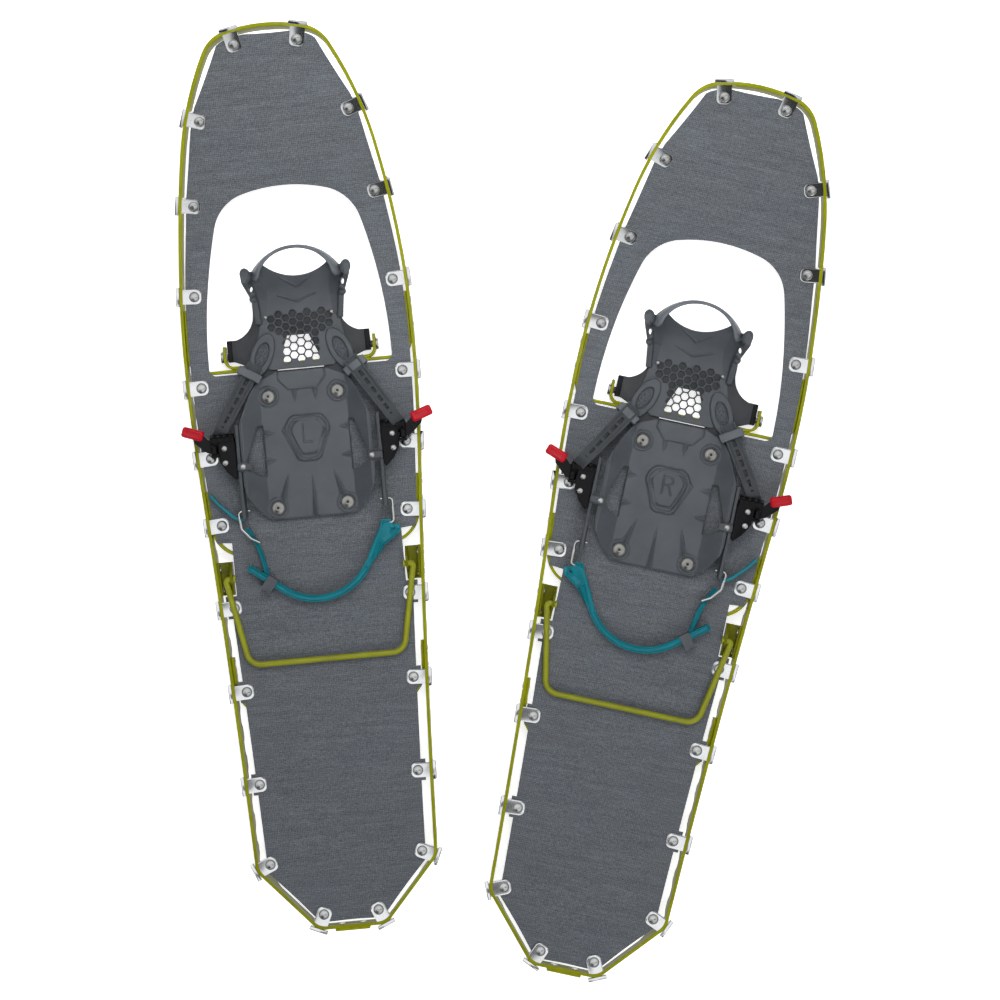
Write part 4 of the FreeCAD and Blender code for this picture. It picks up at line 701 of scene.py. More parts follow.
class SnowshoeSettings(bpy.types.PropertyGroup):
    """The sizes and colours that a user would change."""
    frame_green: FloatVectorProperty(name="Frame", description="Powder coat of frame, brackets and heel lift",
                                     subtype="COLOR", default=(0.25, 0.262, 0.002), min=0, max=1)
    deck_grey: FloatVectorProperty(name="Deck", description="Coated deck cloth", subtype="COLOR",
                                   default=(0.107, 0.117, 0.13), min=0, max=1)
    binding_grey: FloatVectorProperty(name="Binding", description="Moulded floor of the binding",
                                      subtype="COLOR", default=(0.07, 0.078, 0.087), min=0, max=1)
    grip_red: FloatVectorProperty(name="Grips", description="Lever grips", subtype="COLOR",
                                  default=(0.47, 0.004, 0.014), min=0, max=1)
    strap_teal: FloatVectorProperty(name="Heel strap", description="Heel strap", subtype="COLOR",
                                    default=(0.003, 0.16, 0.2), min=0, max=1)
    weave_pitch: FloatProperty(name="Weave pitch", unit="LENGTH", default=1.5 * MM, min=0.2 * MM,
                               description="From one thread of the deck cloth to the next")
    ripple: FloatProperty(name="Deck ripple", unit="LENGTH", default=0.5 * MM, min=0, max=1 * MM,
                          description="How far the stretched cloth dips between its clips")
    mould_grain: FloatProperty(name="Mould grain", description="Grid on which moulded pieces are formed",
                               unit="LENGTH", default=0.7 * MM, min=0.4 * MM, max=2 * MM)
    turn_seed: IntProperty(name="Fastener seed", description="Chooses how far each fastener is turned",
                           default=7, min=0)
    camera_height: FloatProperty(name="Camera height", description="Floor to camera", unit="LENGTH",
                                 default=2.145, min=1)


# ---------------------------------------------------------------- pieces

def both_shoes(make):
    """Makes the same pieces for the left shoe and the right shoe."""
    for side in SIDES:
        make(side, bpy.context.scene.snowshoes)
    return {"FINISHED"}


# node, broken edge, finish (None is its slot's own)
PAINTED_PARTS = (
    ("frame", 0.4, None), ("front_crossmember", 0.4, None), ("rear_crossmembers", 0.4, None),
    # the lift brackets take the frame's paint at half its tone, a painted shade
    ("pivot_bracket", 0.3, None), ("lift_brackets", 0.3, "frame_paint_in_painted_shade"), ("lift_bail", 0, "wire_paint"),
)


def make_painted(side, looks):
    """Frame, crossmembers and brackets with their edges broken, and the wire heel lift."""
    for part, edge, finish in PAINTED_PARTS:
        item = machined(taken(side, part), f"{side}_{part}_coated", edge)
        settle(item, side, part, finish)


DECK_MIDDLE = Vector((0, -60))
CLIP_HALF = 6.6
EDGE_SAG = 0.5
EDGE_BAND = 28
# places along the shoe with how slack the edge is there, and how far the long sides go out
SLACK = ((-380, 1), (-340, 0), (130, 0), (170, 1))
SIDES_OUT = ((-150, 0), (-135, 1.2), (60, 1.2), (110, 0))


def drawn_in(form, rim, seats):
    """The cloth's free edge, drawn in between its clips: it is stretched from one to the next."""
    height = ground_of(form)
    order = sorted((seat.xy for seat in seats), key=lambda spot: math.atan2(*(spot - DECK_MIDDLE).yx))
    moves = {vert: Vector((0, 0)) for vert in rim}
    for start, end in zip(order, order[1:] + order[:1]):
        along = (end - start).normalized()
        outward = Vector((along.y, -along.x))
        length = (end - start).length
        spans = []
        for vert in rim:
            spot = vert.co.xy - start
            if -1 < spot.dot(along) < length + 1 and 0 < spot.dot(outward) < 30:
                spans.append((vert, spot.dot(along), spot.dot(outward)))
        first = min(spans, key=lambda span: abs(span[1] - CLIP_HALF))[2]
        last = min(spans, key=lambda span: abs(span[1] - length + CLIP_HALF))[2]
        slack = between(SLACK, (start.y + end.y) / 2)
        for vert, run, reach in spans:
            share = clamped((run - CLIP_HALF) / (length - 2 * CLIP_HALF))
            straight = first + (last - first) * share - EDGE_SAG * 4 * share * (1 - share)
            out = between(SIDES_OUT, vert.co.y) * (abs(outward.x) > 0.9)
            moves[vert] = outward * (out - slack * max(reach - straight, 0) * (0 < share < 1))
    edge = nearest_of(rim)
    places = []
    for vert in form.verts:
        _, nearest, distance = edge.find(vert.co)
        spot = vert.co.xy + moves[rim[nearest]] * max(1 - distance / EDGE_BAND, 0)
        places.append((vert, spot, height(*spot)))
    for vert, spot, level in places:
        vert.co = (*spot, level or vert.co.z)


CLOTH_GRID = 7.0
CLOTH_THICK = 1.2
RIPPLE_START = 24
RIPPLE_SIZE = (34, 52)
RIPPLE_CHANCE = {"left": 0, "right": 3}


def make_deck(side, looks):
    """The cloth's upper face on a fine grid, dipping a little between the clips, with its thickness."""
    form = taken(side, "deck")
    plainer(form, 0.5)
    bmesh.ops.delete(form, geom=[face for face in form.faces if face.normal.z < 0.5], context="FACES")
    for axis in (0, 1):
        low = min(vert.co[axis] for vert in form.verts)
        high = max(vert.co[axis] for vert in form.verts)
        normal = Vector((axis == 0, axis == 1, 0))
        for number in range(1, int((high - low) / CLOTH_GRID) + 1):
            bmesh.ops.bisect_plane(form, geom=form.verts[:] + form.edges[:] + form.faces[:], dist=1e-4,
                                   plane_co=normal * (low + number * CLOTH_GRID), plane_no=normal)
    bmesh.ops.triangulate(form, faces=[face for face in form.faces if len(face.verts) > 4])
    rim = [vert for vert in form.verts if vert.is_boundary]
    drawn_in(form, rim, [seat for seat, _, _ in seats_of(side, "deck_rivets")])
    edge = nearest_of(rim)
    for vert in form.verts:
        inner = min(edge.find(vert.co)[2] / RIPPLE_START, 1)
        across, along = vert.co.x / RIPPLE_SIZE[0], vert.co.y / RIPPLE_SIZE[1]
        wave = noise.noise(Vector((across, along, RIPPLE_CHANCE[side])))
        vert.co.z -= looks.ripple / MM * inner * inner * (0.6 + wave)
    item = made(form, f"{side}_deck_cloth")
    modifier(item, "SOLIDIFY", thickness=CLOTH_THICK, offset=-1.0, use_rim=True)
    baked(item)
    shoe_place = item.data.attributes.new("shoe_place", "FLOAT_VECTOR", "POINT")
    shoe_place.data.foreach_set("vector", [part * MM for vert in item.data.vertices for part in vert.co])
    shaded(item, 40)
    settle(item, side, "deck")


LEAF_FALL = 0.055
LEAF_CHANCE = 0.03
NOSE_LEAN = 0.12
NOSE_START = 250


def make_clips(side, looks):
    """Folded clips. Their upper leaves have a coined rim, rise to the frame and lean at the nose."""
    form = taken(side, "deck_clips")
    coined(form, 0.7, 0.25, 60)
    seats = seats_of(side, "deck_rivets")
    for number, solid in enumerate(islands(form)):
        verts = corners_of(solid)
        middle = sum((vert.co for vert in verts), Vector()) / len(verts)
        seat, axis, _ = min(seats, key=lambda found: (found[0] - middle).length)
        inward = seat - middle
        inward = (inward - axis * inward.dot(axis)).normalized()
        end = max((vert.co - seat).dot(inward) for vert in verts)
        fall = LEAF_FALL + LEAF_CHANCE * noise.noise(Vector((number * 1.7, 0.3, looks.turn_seed)))
        lean = NOSE_LEAN * (seat.y > NOSE_START) * (1 if seat.x > 0 else -1)
        for vert in verts:
            if (vert.co - seat).dot(axis) > -1.0:
                vert.co += axis * (fall * (end - (vert.co - seat).dot(inward)) + lean * (vert.co.x - seat.x))
    item = machined(form, f"{side}_deck_clips_folded", 0.25, 12)
    settle(item, side, "deck_clips")


# node, head radius, dome height, shank radius, drive socket radius, finish
FASTENER_KINDS = (
    ("deck_rivets", 4.5, 2.1, 2.0, 0.0, "bright_steel"),
    ("frame_rivets", 3.2, 1.2, 1.8, 0.0, "bright_steel"),
    ("plate_screws", 6.0, 2.6, 2.5, 1.3, "screw_steel"),
    ("binding_rivets", 2.4, 1.1, 1.3, 0.0, "bright_steel"),
)
STUD = (1.9, 1.2, 1.2, 2.4)
STUD_PLACES = ((-25.5, 29.5), (30.5, 29.5))


def make_fasteners(side, looks):
    """Every rivet and screw on its CAD seat, and the two small studs on the toe cradle."""
    for part, head, dome, shank, socket, finish in FASTENER_KINDS:
        seats = seats_of(side, part)
        deep = min(depth for _, _, depth in seats)
        spots = [(place, axis) for place, axis, _ in seats]
        item = fastened(f"{side}_{part}_set", spots, headed(head, dome, shank, deep, socket), finish,
                        looks.turn_seed + len(part))
        settle(item, side, part, finish)
    floor = ground_of(taken(side, "toe_cradle"))
    spots = [(Vector((x, y, floor(x, y) + 0.1)), UP) for x, y in STUD_PLACES]
    item = fastened(f"{side}_cradle_studs", spots, headed(*STUD), "bright_steel", looks.turn_seed)
    settle(item, side, "toe_cradle", "bright_steel", replaces=False)


def make_crampon(side, looks):
    """Stamped plate and rails under the binding."""
    item = machined(taken(side, "crampon"), f"{side}_crampon_stamped", 0.35)
    settle(item, side, "crampon")


def make_pivots(side, looks):
    """Turned pins and their bushings."""
    for part, edge in (("pivot_pins", 0.3), ("pivot_bushings", 0.5)):
        item = machined(taken(side, part), f"{side}_{part}_turned", edge)
        settle(item, side, part)


FOOT_MARKS = {
    "left": (((-3.4, 7.6), (-3.4, -7.6), (4.4, -7.6)),),
    "right": (((-4, -7.6), (-4, 7.6), (1.6, 7.6), (4, 6), (4, 2.6), (1.6, 0.6), (-4, 0.6)),
              ((0.4, 0.6), (4.4, -7.6))),
}
MARK_PLACE = (1.0, -70.0)


def foot_mark(form, side, level):
    """The foot's letter as raised strokes, which read the right way round on both shoes."""
    flip = -1 if side == "right" else 1
    for stroke in FOOT_MARKS[side]:
        for start, end in zip(stroke, stroke[1:]):
            ends = [(flip * x + MARK_PLACE[0], y + MARK_PLACE[1], level, 2.0) for x, y in (start, end)]
            ridge(form, ends, 1.3)


# thin end, broad end, width, height
PLATE_FINS = (
    ((2, -106), (1.9, -140), 4.2, 4.2),
    ((-18.2, -103), (-24.2, -124.5), 4.8, 4.2), ((20.4, -103), (26.4, -124.5), 4.8, 4.2),
    ((-7, -43), (-7, -33.5), 3.6, 2.6), ((10.5, -43), (10.5, -33.5), 3.6, 2.6),
    ((-26.4, -67.8), (-36, -68.2), 5.0, 3.4), ((-26.4, -90.8), (-36, -91.2), 5.0, 3.4),
    ((28, -66.8), (36, -67.2), 5.0, 3.4), ((28, -90.8), (36, -91.2), 5.0, 3.4),
)
BADGE = ((12.5, -56), (18.4, -65.8), (7.8, -92.3))
SHIELD_SHARE = 0.76
SHIELD_RISE = 1.5
FLAP = ((19, -17.5), (19.5, -23), (12, -32))


CORNER_RADIUS = 4.5


def rounded_loop(corners, grow):
    """Spots round a shape that is the same on both sides, made larger or smaller, with rounded corners."""
    corners = list(corners) + [(-x, y) for x, y in reversed(corners)]
    middle_y = sum(y for _, y in corners) / len(corners)
    corners = [Vector((x * grow + 1.0, middle_y + (y - middle_y) * grow)) for x, y in corners]
    spots = []
    for before, corner, after in zip(corners[-1:] + corners, corners, corners[1:] + corners[:1]):
        start = corner + (before - corner).normalized() * CORNER_RADIUS * grow
        end = corner + (after - corner).normalized() * CORNER_RADIUS * grow
        spots += [start.lerp(corner, share).lerp(corner.lerp(end, share), share)
                  for share in (0, 0.25, 0.5, 0.75, 1)]
    return spots


def plate_fin(form, thin, broad, width, height, level):
    """A fin that grows wider and higher from its thin end to its broad one."""
    (x, y), (end_x, end_y) = thin, broad
    rows = []
    for share in (0, 0.3, 0.65, 1):
        rise = height * (0.15 + 0.85 * share)
        spread = max(width * share, 0.5) / 2
        along = Vector((end_x - x, end_y - y)).normalized() * spread
        spot = Vector((x + (end_x - x) * share, y + (end_y - y) * share))
        rows.append([(spot.x - along.y, spot.y + along.x, level - 0.5), (spot.x, spot.y, level + rise),
                     (spot.x + along.y, spot.y - along.x, level - 0.5)])
    tube(form, rows)


def make_plate(side, looks):
    """Moulded floor: fins, the badge's ring and shield, a bead round each screw and the foot's letter."""
    form = taken(side, "binding_plate")
    level = max(seat[0].z for seat in seats_of(side, "plate_screws")) - 0.1
    for place, _, _ in seats_of(side, "plate_screws"):
        ring_round(form, (place.x, place.y, level + 0.2), 7.9, 1.0)
    for thin, broad, width, height in PLATE_FINS:
        plate_fin(form, thin, broad, width, height, level)
    loop = rounded_loop(BADGE, 1.0)
    for start, end in zip(loop, loop[1:] + loop[:1]):
        ridge(form, [(*spot, level + 0.2, 4.0) for spot in (start, end)], 2.2)
        lump(form, (*start, level + 0.2), (1.7, 1.7, 2.2))
    shield = level + SHIELD_RISE
    tube(form, [[(*spot, z) for spot in rounded_loop(BADGE, SHIELD_SHARE)] for z in (level - 0.4, shield)])
    edge = FLAP + tuple((-x, y) for x, y in reversed(FLAP))
    ridge(form, [(x, y, level + 0.3, 2.4) for x, y in edge], 1.4)
    foot_mark(form, side, shield)
    item = moulded(form, f"{side}_binding_plate_moulded", 0.7 * looks.mould_grain / MM, 2)
    settle(item, side, "binding_plate")


CHEVRONS = (
    ((-9.8, 60.5, 0.8), (3.2, 53.2, 3.4), (16.8, 60.8, 0.8)),
    ((-13.2, 46.4, 0.8), (2.6, 40.9, 3.0), (18.8, 46.6, 0.8)),
)
# places along a horn with where its foot stands across, and how high its ridge is
HORN_FOOT = ((24, 33.5), (42, 33.8), (66, 37.0))
HORN_RIDGE = ((22, 29.4), (44, 39.0), (57, 58.0), (65, 58.6), (68, 54.0))
HORN_SPREAD = ((27, 5.0), (50, 9.0), (67, 8.0))
HORN_PLACES = (27, 32, 38, 44, 50, 56, 62, 67)
HORN_KNUCKLES = ((48.8, 2.9), (44.6, 3.1))
SLOT_PLACE = (38.4, 52.6)
SLOT_HALF = (1.5, 2.7)
BEAD_PLACES = ((-6.6, 0), (-2.2, 2.0), (-2.2, -2.0), (2.2, 2.0), (2.2, -2.0), (6.6, 0))
BEAD_TURN = 66


def leaned(x, y):
    """Where a point of the cradle lies: its middle line leans towards the other foot."""
    return x + 2.0 + y * math.tan(math.radians(2.7))


def make_cradle(side, looks):
    """Honeycomb floor, slotted horns and loops in one moulding. The floor sweeps up into each horn."""
    form = taken(side, "toe_cradle")
    height = ground_of(form)
    for chevron in CHEVRONS:
        spots = []
        for start, end in zip(chevron, chevron[1:]):
            for share in (0, 0.25, 0.5, 0.75):
                spots.append(tuple(first + (last - first) * share for first, last in zip(start, end)))
        spots.append(chevron[-1])
        ridge(form, [(x, y, height(x, y), width) for x, y, width in spots], 1.5)
    for way in (-1, 1):
        rows = []
        for y in HORN_PLACES:
            foot = leaned(way * between(HORN_FOOT, y), y)
            top = between(HORN_RIDGE, y)
            lip = foot + way * 0.2 * (top - 24.4)
            inner = foot - way * between(HORN_SPREAD, y)
            low = height(inner, y) or height(inner - way * 3, y)
            mid = inner + (lip - inner) * 0.62
            bend = low + (top - low) * 0.34
            rows.append([(inner, y, low - 0.2), (mid, y, bend), (lip, y, top - 0.8), (lip, y, top - 3.8),
                         (mid, y, bend - 2.6), (inner, y, low - 2.4)])
        tube(form, rows)
        crown = leaned(way * 41.6, 63)
        lump(form, (crown, 63.5, 54.8), (4.6, 6.4, 4.6), -0.25 * way)
        for y, radius in HORN_KNUCKLES:
            lump(form, (leaned(way * 37.6, y), y, between(HORN_RIDGE, y) - 1.6), (radius, radius, 3.0))
        turn = math.radians(-BEAD_TURN * way)
        bead = [(1.9 + 0.4 * x, 0.7 * z, 6) for x, z in circle(6)]
        for across, along in BEAD_PLACES:
            x = 33 * way + 2 + across * math.cos(turn) - along * math.sin(turn)
            y = -2 + across * math.sin(turn) + along * math.cos(turn)
            revolved(form, bead, 12, closed=True, centre=(x, y, 27.8))
    item = moulded(form, f"{side}_toe_cradle_moulded", 0.7 * looks.mould_grain / MM, 2)
    form = bmesh.new()
    for way in (-1, 1):
        middle = leaned(way * SLOT_PLACE[0], SLOT_PLACE[1])
        tube(form, [[(middle + SLOT_HALF[0] * x, SLOT_PLACE[1] + SLOT_HALF[1] * y, z) for x, y in circle(16)]
                    for z in (10, 70)])
    cutter = made(form, "slot_cutter")
    modifier(item, "BOOLEAN", operation="DIFFERENCE", solver="FAST", object=cutter)
    baked(item)
    bpy.data.objects.remove(cutter)
    shaded(item, 60)
    settle(item, side, "toe_cradle")


# the edge of a flat strap with rounded corners, as shares of its half width and half thickness
STRAP_SECTION = ((-1, -0.5), (-0.9, -1), (0.9, -1), (1, -0.5), (1, 0.5), (0.9, 1), (-0.9, 1), (-1, 0.5))
ARCH_HALF_THICK = 1.4
ARCH_STEPS = 48


def centre_through(start, front, end):
    """The middle of the circle through three places."""
    first, second = start - front, end - front
    cross = 2 * (first.x * second.y - first.y * second.x)
    return front + Vector((second.y * first.length_squared - first.y * second.length_squared,
                           first.x * second.length_squared - second.x * first.length_squared)) / cross


def make_toe_strap(side, looks):
    """Elastic arch, upright in front and laid back at its two ends, where it lies on the horns."""
    form = taken(side, "toe_strap")
    ends = [pick(form.verts, key=lambda vert: vert.co.x).co.copy() for pick in (min, max)]
    front = max(form.verts, key=lambda vert: vert.co.y).co.copy()
    low, high = min(vert.co.z for vert in form.verts), max(vert.co.z for vert in form.verts)
    form.clear()
    centre = centre_through(ends[0].xy, front.xy, ends[1].xy)
    reach = (front.xy - centre).length
    start, stop = (math.atan2(end.y - centre.y, end.x - centre.x) for end in ends)
    wide, thick = (high - low) / 2, ARCH_HALF_THICK
    rows = []
    for step in range(ARCH_STEPS + 1):
        share = step / ARCH_STEPS
        angle = start + (stop - start) * share
        edge = abs(2 * share - 1)
        back = math.radians(6 + 30 * edge ** 3)
        close = min(1, 0.45 + 6 * (1 - edge)) if edge > 0.9 else 1
        outward = Vector((math.cos(angle), math.sin(angle), 0))
        up = UP * math.cos(back) - outward * math.sin(back)
        out = outward * math.cos(back) + UP * math.sin(back)
        spine = Vector((*centre, low + wide)) + outward * (reach - thick - 0.8 * wide * math.sin(back))
        rows.append([spine + up * wide * close * rise + out * thick * side_on
                     for rise, side_on in STRAP_SECTION])
    tube(form, rows)
    item = shaded(made(form, f"{side}_toe_strap_moulded"), 50)
    settle(item, side, "toe_strap", "toe_rubber")


LADDER_STEPS = 104
LADDER_RUNGS = 18
LADDER_STRETCH = 4.5
SLOT_PITCH = 9.0
SLOT_RUN = 5.2
SLOT_START = 14
SLOT_DEPTH = 1.9


def make_instep(side, looks):
    """Ladder straps with raised rims and a row of slots, and the loops round them."""
    steps, rungs = LADDER_STEPS, LADDER_RUNGS
    blank = taken(side, "instep_straps")
    form = bmesh.new()
    for solid in islands(blank):
        edges = dict.fromkeys(edge for face in solid for edge in face.edges)
        longest = max(edges, key=lambda edge: edge.calc_length())
        run = (longest.verts[1].co - longest.verts[0].co).normalized()
        run = run if run.y < 0 else -run
        upward = [face for face in solid if face.normal.z > 0.5]
        top = max(upward, key=lambda face: face.calc_area()).normal.copy()
        beside = top.cross(run)
        spots = [vert.co for face in solid for vert in face.verts]
        low, high = ([pick(spot.dot(way) for spot in spots) for way in (run, beside, top)]
                     for pick in (min, max))
        middle = (low[1] + high[1]) / 2
        half = (high[1] - low[1]) / 2
        length = high[0] - low[0] + LADDER_STRETCH
        upper, lower = [], []
        for step in range(steps + 1):
            along = length * step / steps
            taper = half * (1 - 0.16 * clamped((along - 22) / (length - 22)))
            clear = clamped((along - length + 24) / 8)
            slotted = SLOT_START < along < length - 9 and (along - SLOT_START) % SLOT_PITCH < SLOT_RUN
            fall = 5.0 * max((along - length + 9) / 9, 0) ** 2
            row, under = [], []
            for rung in range(rungs + 1):
                across = 2 * rung / rungs - 1
                rim = clamped((abs(across) - 0.62) / 0.16)
                in_slot = slotted and abs(across * taper) < 0.75
                level = (high[2] + 0.45 * rim - 0.35 * (1 - rim) - SLOT_DEPTH * in_slot
                         - 0.5 * (abs(across) > 0.95) - fall)
                level -= clear * (0.35 + 0.8 * rim)
                spot = run * (low[0] + along) + beside * (middle + taper * across)
                row.append(form.verts.new(spot + top * level))
                under.append(form.verts.new(spot + top * (low[2] - fall)))
            upper.append(row)
            lower.append(under)
        for layer, flip in ((upper, False), (lower, True)):
            for first, second in zip(layer, layer[1:]):
                for rung in range(rungs):
                    corners = (first[rung], second[rung], second[rung + 1], first[rung + 1])
                    form.faces.new(corners[::-1] if flip else corners)
        for step in range(steps):
            for rung in (0, rungs):
                form.faces.new((upper[step][rung], upper[step + 1][rung],
                                lower[step + 1][rung], lower[step][rung]))
        for step in (0, steps):
            for rung in range(rungs):
                form.faces.new((upper[step][rung], upper[step][rung + 1],
                                lower[step][rung + 1], lower[step][rung]))
    bmesh.ops.recalc_face_normals(form, faces=form.faces)
    blank.free()
    item = shaded(made(form, f"{side}_instep_straps_moulded"), 50)
    settle(item, side, "instep_straps")
    form = taken(side, "strap_keepers")
    item = machined(form, f"{side}_strap_keepers_moulded", 0.9)
    settle(item, side, "strap_keepers")


ARM_LUGS_FROM = -92
LUG_RADII = (4.2, 4.4, 1.5)


def make_arms(side, looks):
    """Side arms: a round lug at each tab's rivet and a rounded paddle at the rear, moulded into one piece."""
    form = taken(side, "side_arms")
    low, high = min(vert.co.y for vert in form.verts), max(vert.co.y for vert in form.verts)
    lugs = [seat for seat, _, _ in seats_of(side, "binding_rivets") if seat.y < ARM_LUGS_FROM]
    for vert in form.verts:
        near = min(lugs, key=lambda lug: (lug - vert.co).length)
        if abs(vert.co.y - near.y) < 7 and vert.co.z > near.z - 6 and abs(vert.co.x - near.x) < 9:
            vert.co.y = near.y + 0.5 * (vert.co.y - near.y)
    for lug in lugs:
        lump(form, (lug.x, lug.y, lug.z - 1.4), LUG_RADII)
    for way in (-1, 1):
        edge = [vert.co.copy() for vert in form.verts if vert.co.x * way > 0]
        rear = [spot for spot in edge if spot.y < low + 3]
        x = sum(spot.x for spot in rear) / len(rear)
        z = sum(spot.z for spot in rear) / len(rear)
        for y, *radii in ((low + 6.5, 2.6, 6.4, 6.2), (low + 16, 2.2, 8.0, 6.0), (high - 7, 2.3, 8.0, 6.0)):
            lump(form, (x, y, z), radii)
    item = moulded(form, f"{side}_side_arms_moulded", 0.5, 6)
    settle(item, side, "side_arms")


DRUM_RIBS = 4
BUCKLE_SLOPE = 0.06
DRUM_ROOM = 8.5


def make_buckles(side, looks):
    """Buckle bases with a ribbed drum at the front, over which the strap turns."""
    form = taken(side, "buckles")
    plainer(form)
    solids = [corners_of(solid) for solid in islands(form)]
    for verts in solids:
        front = max(vert.co.y for vert in verts)
        block = [vert for vert in verts if vert.co.y > front - 4]
        for vert in verts:
            if vert.co.z > sum(spot.co.z for spot in verts) / len(verts):
                vert.co.z -= BUCKLE_SLOPE * (front - vert.co.y)
        low, high = min(vert.co.z for vert in block), max(vert.co.z for vert in block) + 0.5
        left, right = min(vert.co.x for vert in block), max(vert.co.x for vert in block)
        for vert in block:
            vert.co.y = min(vert.co.y, front - DRUM_ROOM)
        radius = (high - low) / 2 - 0.2
        centre = Vector(((left + right) / 2, front - radius - 0.4, (low + high) / 2))
        profile = [(0, left)]
        width = (right - left) / DRUM_RIBS
        for number in range(DRUM_RIBS):
            start = left + (right - left) * number / DRUM_RIBS
            profile += [(radius - 0.6, start + 0.01), (radius - 0.6, start + 0.25 * width),
                        (radius, start + 0.45 * width), (radius, start + 0.85 * width)]
        profile.append((0, right))
        turn = Matrix.Rotation(math.pi / 2, 4, "Y")
        for vert in revolved(form, profile, 28):
            spot = turn @ vert.co
            vert.co = Vector((spot.x, centre.y + spot.y, centre.z + spot.z))
    item = moulded(form, f"{side}_buckles_moulded", 0.42, 2)
    settle(item, side, "buckles")


GRIP_LENGTH = 0.93
GRIP_GIRTH = 0.85


def make_levers(side, looks):
    """Black levers that curve outwards, and their red grips."""
    for end in ("inner", "outer"):
        item = moulded(taken(side, f"lever_{end}"), f"{side}_lever_{end}_moulded", 0.35, 5)
        settle(item, side, f"lever_{end}")
        form = taken(side, f"grip_{end}")
        plainer(form)
        heart = sum((vert.co for vert in form.verts), Vector()) / len(form.verts)
        long = max(form.edges, key=lambda edge: edge.calc_length())
        along = (long.verts[1].co - long.verts[0].co).normalized()
        for vert in form.verts:
            run = (vert.co - heart).dot(along) * along
            vert.co = heart + GRIP_LENGTH * run + GRIP_GIRTH * (vert.co - heart - run)
        for way in (UP, -UP):
            faces = [face for face in form.faces if face.normal.dot(way) > 0.9]
            bmesh.ops.inset_region(form, faces=faces, thickness=1.1, depth=0, use_even_offset=True)
            bmesh.ops.inset_region(form, faces=faces, thickness=0.5, depth=-0.45, use_even_offset=True)
        item = made(form, f"{side}_grip_{end}_moulded")
        modifier(item, "BEVEL", width=0.8, segments=3, limit_method="ANGLE", angle_limit=math.radians(20))
        baked(item)
        shaded(item, 60)
        settle(item, side, f"grip_{end}")


EYELET = Vector((61.5, -153.9, 31.2))
EYELET_WAY = Vector((-0.5446, -0.8387, 0))
BAND_STEP = 3
BAND_ROWS = 15
BAND_END = 38
BAND_CLOSE = (0.3, 0.75, 0.95, 1)
BAND_SECTION = ((-1, -0.5), (-0.8, -1), (0.8, -1), (1, -0.5), (1, 0.5), (0.8, 1), (-0.8, 1), (-1, 0.5))


def flared_band(form):
    """The strap's flat end at its eyelet, which twists upright along the strap."""
    beside = EYELET_WAY.cross(UP)
    for vert in form.verts:
        spot = vert.co - EYELET
        if spot.dot(EYELET_WAY) < 1 and abs(spot.dot(beside)) < 3.6 and spot.length < 11:
            vert.co.z = EYELET.z + 0.12 * (vert.co.z - EYELET.z)
    rows = []
    for number in range(BAND_ROWS):
        run = BAND_STEP * (number - 1)
        share = clamped(run / BAND_END)
        twist = math.radians(10 + 80 * share ** 1.3)
        half = (6.4 - 1.2 * share) * BAND_CLOSE[min(number, 3)]
        spine = EYELET + EYELET_WAY * run - UP * 3.7 * share
        wide = beside * math.cos(twist) + UP * math.sin(twist)
        thick = (UP * math.cos(twist) - beside * math.sin(twist)) * 2.1
        rows.append([spine + wide * half * x + thick * z for x, z in BAND_SECTION])
    tube(form, rows)


def make_heel_strap(side, looks):
    """Elastic strap with a rim round its face and a flared end, its thin tail and the block round them."""
    for part in ("heel_strap", "heel_strap_tail"):
        form = taken(side, part)
        plainer(form)
        if part == "heel_strap":
            form.normal_update()
            for vert in form.verts:
                vert.co += vert.normal * 0.8
            coined(form, 1.9, 1.8, 25)
            flared_band(form)
        item = moulded(form, f"{side}_{part}_moulded", 0.4, 2)
        settle(item, side, part)
    form = taken(side, "heel_strap_keeper")
    item = machined(form, f"{side}_heel_strap_keeper_moulded", 0.8)
    settle(item, side, "heel_strap_keeper", "arm_rubber")


def make_hooks(side, looks):
    """Bent wire hooks that carry the heel strap."""
    item = machined(taken(side, "strap_hooks"), f"{side}_strap_hooks_bent")
    settle(item, side, "strap_hooks")


# the camera stands straight above, beside the left binding's pivot
CAMERA_BESIDE = (156.7 * MM, -141.4 * MM)
CAMERA_LENS = 90.72
CAMERA_TURN = -5.3
FLOOR_HALF = 6
# name, place, how far along the shoes it aims, size, watts, spread in degrees
LAMPS = (
    ("overhead", (0.1, 0.3, 2.6), 0, 1.9, 11, 180),
    ("window", (0.05, 0.55, 1.1), 0.38, 0.6, 2.0, 75),
    ("fill", (0.3, -1.2, 1.4), -0.3, 1.0, 12, 180),
)


